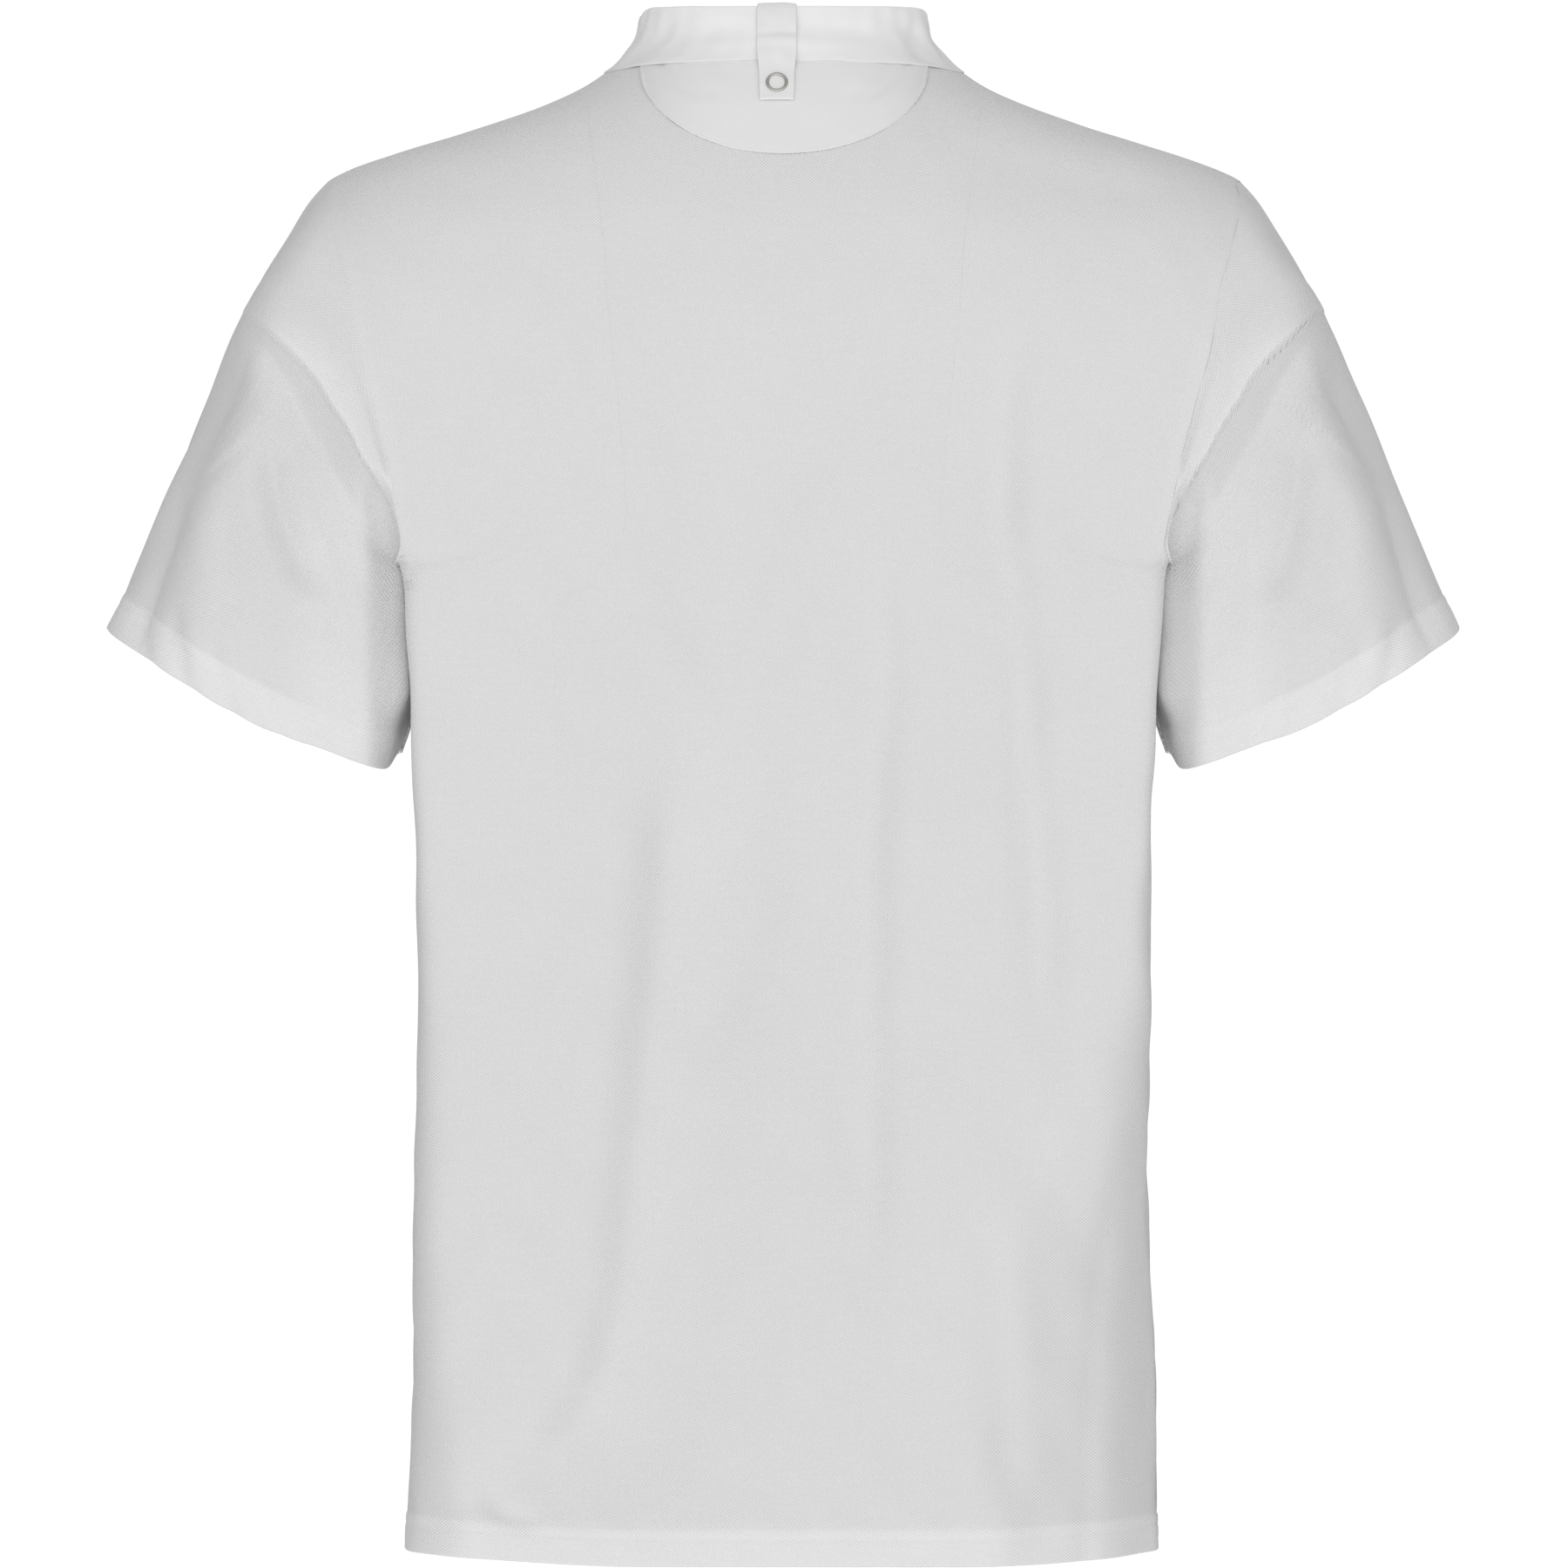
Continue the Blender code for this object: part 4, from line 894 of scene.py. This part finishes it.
def makeCollar():
    lap = math.asin(collar["lap"] / body["neckHalfWidth"])
    around = np.linspace(-math.pi / 2 - lap, 3 * math.pi / 2 + lap, 300)[None, :]
    up = (spread(0, (1.6, 0.4), (34.4, 1.1), (36, 0.4)) / 36)[:, None]
    under = easeStep(*np.radians(collar["dive"]), around)
    relief = collarRelief(around, up)
    points = collarPoint(around, up, relief * easeStep(0, 0.1, up) - (collar["wall"] + 1.0) * under)
    wall = collar["foot"] + (collar["wall"] - collar["foot"]) * easeStep(0.02, 0.2, up)
    # the band is two layers throughout, but its foot takes the greyer single colour, as painted shade where it meets
    # the neckline
    layersAndLight = 0.15 + 0.85 * easeStep(0.05, 0.5, up)
    return clothShell("stand_collar_cloth", points, wall, poplinCloth, layersAndLight=layersAndLight)


# the half-round patch inside the back neckline's curve, its border turned under

patch = {"halfWidth": 71.5, "bottom": -45.0, "wall": 0.7, "lift": 0.85, "gap": 0.2, "border": 7.0}


def makePatch():
    angle = np.radians(np.linspace(84, -84, 150))[None, :]
    x = patch["halfWidth"] * np.sin(angle)
    up = (spread(0, (1.2, 0.3), (3, 0.9), (45, 1.2), (47, 0.9), (48, 0.4)) / 48)[:, None]
    top = neckHeight(np.abs(x) / body["neckHalfWidth"], "back") - patch["gap"]
    bottom = body["neckSide"] + (patch["bottom"] - body["neckSide"]) * np.cos(angle)
    height = bottom + (top - bottom) * up
    form = bodyPoint(turnAt(x, height, "back"), height)
    fromEdge = np.minimum(edgeDistance(form), 60.0)
    double = easeStep(patch["border"] + 1.0, patch["border"] - 1.0, fromEdge)
    raised = 0.1 * double - 0.1 * bell(fromEdge - 2.0, 0.7)
    raised = raised + 0.16 * unevenness(x, height, 71, (16, 60))
    # small pinched folds run in from its upper corners
    for side in (1, -1):
        for start, depth in ((62, 0.8), (52, 0.5)):
            across, place = alongPath([(side * start, 4), (side * (start - 10), -9), (side * (start - 26), -19)],
                                      x, height)
            raised = raised - depth * bell(across, 3.4) * easeStep(0, 0.3, 1 - place)
    points = bodyPoint(turnAt(x, height, "back"), height, patch["lift"] + raised)
    return clothShell("neck_patch_cloth", points, patch["wall"], poplinCloth)


# the apron tab: a folded strip from the patch up over the collar and down inside it

tab = {"side": 3.5, "widthTop": 19.6, "widthFoot": 17.2, "top": 33.0, "bend": -4.0, "foot": -18.6,
       "wall": 1.5, "stand": 1.8, "ups": (0.2, 0.4, 0.7, 0.93), "soften": 2.2}


def onCollar(x, up, lift):
    around = np.arccos(x / collarSize["halfWidth"](up))
    return collarPoint(around, up, lift)


def softened(rows, spacing, reach):
    # rows of points joined by a line, taken again at even spacing and averaged along it over a bell
    run = np.concatenate(([0.0], np.cumsum(np.linalg.norm(np.diff(rows, axis=0), axis=-1).mean(axis=1))))
    margin = 3 * reach
    first = rows[:1] + (rows[:1] - rows[1:2]) * margin / run[1]
    last = rows[-1:] + (rows[-1:] - rows[-2:-1]) * margin / (run[-1] - run[-2])
    knots = np.concatenate(([-margin], run, [run[-1] + margin]))
    rows = np.concatenate((first, rows, last))
    fine = np.arange(-margin, run[-1] + margin, 0.25)
    cell = np.clip(np.searchsorted(knots, fine) - 1, 0, len(knots) - 2)
    part = ((fine - knots[cell]) / (knots[cell + 1] - knots[cell]))[:, None, None]
    line = rows[cell] * (1 - part) + rows[cell + 1] * part
    wanted = spread(0, (1.2, 0.3), (run[-1] - 1.2, spacing), (run[-1], 0.3))
    weights = bell(wanted[:, None] - fine[None, :], reach)
    weights /= weights.sum(axis=1, keepdims=True)
    return np.einsum("ij,jkl->ikl", weights, line)


def makeTab():
    share = (0.5 - spread(0, (1.2, 0.3), (18.4, 0.95), (19.6, 0.3)) / 19.6)[None, :]
    onPatch = patch["lift"] + tab["stand"]
    height = np.linspace(tab["foot"], tab["bend"], 5)[:, None]
    width = np.interp(height, (tab["foot"], tab["top"]), (tab["widthFoot"], tab["widthTop"]))
    x = tab["side"] + width * share
    rows = list(bodyPoint(turnAt(x, height, "back"), height, onPatch))
    x = tab["side"] + tab["widthTop"] * share[0]
    for up in tab["ups"]:
        rows.append(onCollar(x, np.full(x.shape, up), tab["stand"] + 0.4))
    radius = collar["wall"] / 2 + tab["stand"]
    for swing in np.radians((20, 55, 90, 125, 160)):
        crest = onCollar(x, np.ones(x.shape), 0.0)
        crest[..., 1] += radius * np.cos(swing) - collar["wall"] / 2
        crest[..., 2] += radius * np.sin(swing) - collar["wall"] / 2 - 0.4
        rows.append(crest)
    for up in tab["ups"][::-1]:
        rows.append(onCollar(x, np.full(x.shape, up), -collar["wall"] - tab["stand"]))
    points = softened(np.array(rows), 0.9, tab["soften"])
    normals = gridNormals(points)
    up = runLength(points, 0)
    side = np.abs(2 * share)
    swell = 0.3 * (1 - side ** 4) - 0.18 * bell((1 - side) * 9.5 - 2.0, 0.7)
    kink = -0.5 * bell(up - 37, 1.8) + 0.3 * bell(up - 33, 2.4) + 0.12 * unevenness(share * 20, up, 81, (8, 30))
    points = points + normals * (swell + kink)[..., None]
    return clothShell("apron_tab_cloth", points, tab["wall"], poplinCloth, layersAndLight=0.15)


# the front placket: a straight folded strip over the slit, stitched down along its sides

placket = {"halfWidth": 15.0, "end": -216.0, "wall": 1.4, "lift": 2.2, "stitch": 2.2, "snaps": (-82.0, -133.0, -184.0)}


def makePlacket():
    x = (spread(0, (1.2, 0.3), (28.8, 1.15), (30, 0.3)) - placket["halfWidth"])[None, :]
    long = body["neckFront"] - 0.5 - placket["end"]
    up = spread(0, (1.2, 0.3), (long - 1.2, 1.4), (long, 0.3))[:, None]
    height = placket["end"] + up
    x, height = np.broadcast_arrays(x, height)
    side = placket["halfWidth"] - np.abs(x)
    raised = 0.25 * easeStep(0, 4, side) - 0.25 * bell(side - placket["stitch"], 0.9)
    raised = raised - 0.25 * bell(height - placket["end"] - 12, 0.9)
    raised = raised + 0.18 * unevenness(x, height, 91, (14, 50)) * easeStep(0, 6, side)
    points = bodyPoint(turnAt(x, height, "front"), height, placket["lift"] + raised)
    return clothShell("front_placket_cloth", points, placket["wall"], poplinCloth, layersAndLight=0.4)


for name, make, held in (("stand_collar", makeCollar, "folded"), ("neck_patch", makePatch, "laid"),
                         ("apron_tab", makeTab, "folded"), ("front_placket", makePlacket, "laid")):
    piece = make()
    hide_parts(name)
print("collar, patch, tab and placket made")


# ring snaps: a pressed ring with the cloth showing through it

snap = {"radius": 4.7, "half": 0.8, "rise": 0.55, "segments": 44, "sides": 10}


def makeSnap(name, place, facing):
    # a flattened torus round the facing, sunk by half of its section into the cloth
    across = unit(np.cross(facing, np.array((0.0, 0.0, 1.0))))
    upward = np.cross(across, facing)
    turn = np.arange(snap["segments"]) * 2 * math.pi / snap["segments"]
    section = np.arange(snap["sides"]) * 2 * math.pi / snap["sides"]
    ring = np.cos(turn)[:, None] * across + np.sin(turn)[:, None] * upward
    out = snap["radius"] + snap["half"] * np.cos(section)
    points = (place + ring[:, None, :] * out[None, :, None]
              + facing * (snap["rise"] * np.sin(section))[None, :, None])
    i, j = np.meshgrid(np.arange(snap["segments"]), np.arange(snap["sides"]), indexing="ij")
    i, j = i.ravel(), j.ravel()
    nextI, nextJ, sides = (i + 1) % snap["segments"], (j + 1) % snap["sides"], snap["sides"]
    faces = np.stack((i * sides + j, nextI * sides + j, nextI * sides + nextJ, i * sides + nextJ), -1)
    mesh = bpy.data.meshes.new(name)
    mesh.from_pydata((points.reshape(-1, 3) * mm).tolist(), [], faces.tolist())
    return newPiece(name, mesh, nickelPlate)


def onBody(x, height, side, lift):
    turn = turnAt(np.array(x), np.array(height), side)
    low, high = bodyPoint(turn, height, lift), bodyPoint(turn, height, lift + 1.0)
    return low, unit(high - low)


snapPlaces = {"tab_snap": onBody(tab["side"], -10.3, "back", patch["lift"] + tab["stand"] + 0.45)}
low, high = (collarPoint(np.array(-math.pi / 2), np.array(up), 0.4) for up in (0.45, 0.62))
snapPlaces["collar_snap"] = ((low + high) / 2, unit(np.cross(np.array((1.0, 0.0, 0.0)), high - low)))
for number, height in enumerate(placket["snaps"], start=1):
    snapPlaces["placket_snap_" + str(number)] = onBody(0.0, height, "front", placket["lift"] + 0.35)
for name, (place, facing) in snapPlaces.items():
    piece = makeSnap(name + "_ring", place, facing)
    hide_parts(name)
print("snaps made")


# studio: pale floor, white surround, soft lights and the camera

camera = {"distance": 5.0, "height": -0.3545, "lens": 229.9}
glow = [
    # soft lights of the studio, in pairs to both sides: azimuth from the back of the wearer and elevation
    # of the middle of each, how fast it fades away from there, and its radiance
    {"name": "whiteRoom", "azimuth": 0, "elevation": -8, "fade": 1.45, "radiance": 1.53},
    {"name": "rimSoftboxes", "azimuth": 149, "elevation": 60, "fade": 19.0, "radiance": 1.53},
    {"name": "frontTable", "azimuth": 176, "elevation": -31, "fade": 3.5, "radiance": 0.95},
]
stage = {"floor": -1.15, "floorSize": 3.6, "surround": 16.0, "white": 1.0}


def makeStudio():
    scene = bpy.context.scene
    view = bpy.data.cameras.new("camera")
    view.lens, view.sensor_width, view.clip_end = camera["lens"], 36.0, 100.0
    holder = bpy.data.objects.new("camera", view)
    holder.location = (0, camera["distance"], camera["height"])
    holder.rotation_euler = (math.pi / 2, 0, math.pi)
    scene.collection.objects.link(holder)
    scene.camera = holder
    world = bpy.data.worlds.new("studio")
    world.use_nodes = True
    tree = world.node_tree
    heading = addNode(tree, "ShaderNodeTexCoord")
    split = addNode(tree, "ShaderNodeSeparateXYZ", {0: heading.outputs["Generated"]})
    folded = addNode(tree, "ShaderNodeCombineXYZ", {0: mathNode(tree, "ABSOLUTE", split.outputs["X"]),
                                                    1: split.outputs["Y"], 2: split.outputs["Z"]})
    total = 0.0
    for lamp in glow:
        turn, rise = math.radians(lamp["azimuth"]), math.radians(lamp["elevation"])
        middle = (math.sin(turn) * math.cos(rise), math.cos(turn) * math.cos(rise), math.sin(rise))
        facing = addNode(tree, "ShaderNodeVectorMath", {0: folded.outputs[0], 1: middle}, operation="DOT_PRODUCT")
        away = mathNode(tree, "MULTIPLY_ADD", facing.outputs["Value"], lamp["fade"], -lamp["fade"])
        total = mathNode(tree, "MULTIPLY_ADD", mathNode(tree, "EXPONENT", away), lamp["radiance"], total)
    tree.links.new(total, tree.nodes["Background"].inputs["Strength"])
    tree.nodes["Background"].inputs["Color"].default_value = (1, 1, 1, 1)
    scene.world = world
    bpy.ops.mesh.primitive_circle_add(vertices=96, radius=stage["floorSize"], fill_type="NGON",
                                      location=(0, 0, stage["floor"]))
    floor = bpy.context.object
    floor.name = "floor"
    paint, tree, shader = newMaterial("paleFloorPaint")
    shader.inputs["Base Color"].default_value = linear("#ebebeb")
    shader.inputs["Roughness"].default_value = 0.7
    floor.data.materials.append(paint)
    bpy.ops.mesh.primitive_uv_sphere_add(segments=48, ring_count=24, radius=stage["surround"])
    surround = bpy.context.object
    surround.name = "whiteSurround"
    paper, tree, shader = newMaterial("whiteSurroundPaper")
    shader.inputs["Base Color"].default_value = (0, 0, 0, 1)
    shader.inputs["Emission Color"].default_value = (1, 1, 1, 1)
    shader.inputs["Emission Strength"].default_value = stage["white"]
    surround.data.materials.append(paper)
    # the camera sees both, but they neither light nor shade the shirt
    for thing, rays in ((floor, ("diffuse", "glossy", "shadow")),
                        (surround, ("diffuse", "glossy", "shadow", "transmission", "volume_scatter"))):
        for ray in rays:
            setattr(thing, "visible_" + ray, False)
    scene.view_settings.view_transform = "Standard"


makeStudio()
print("studio made")
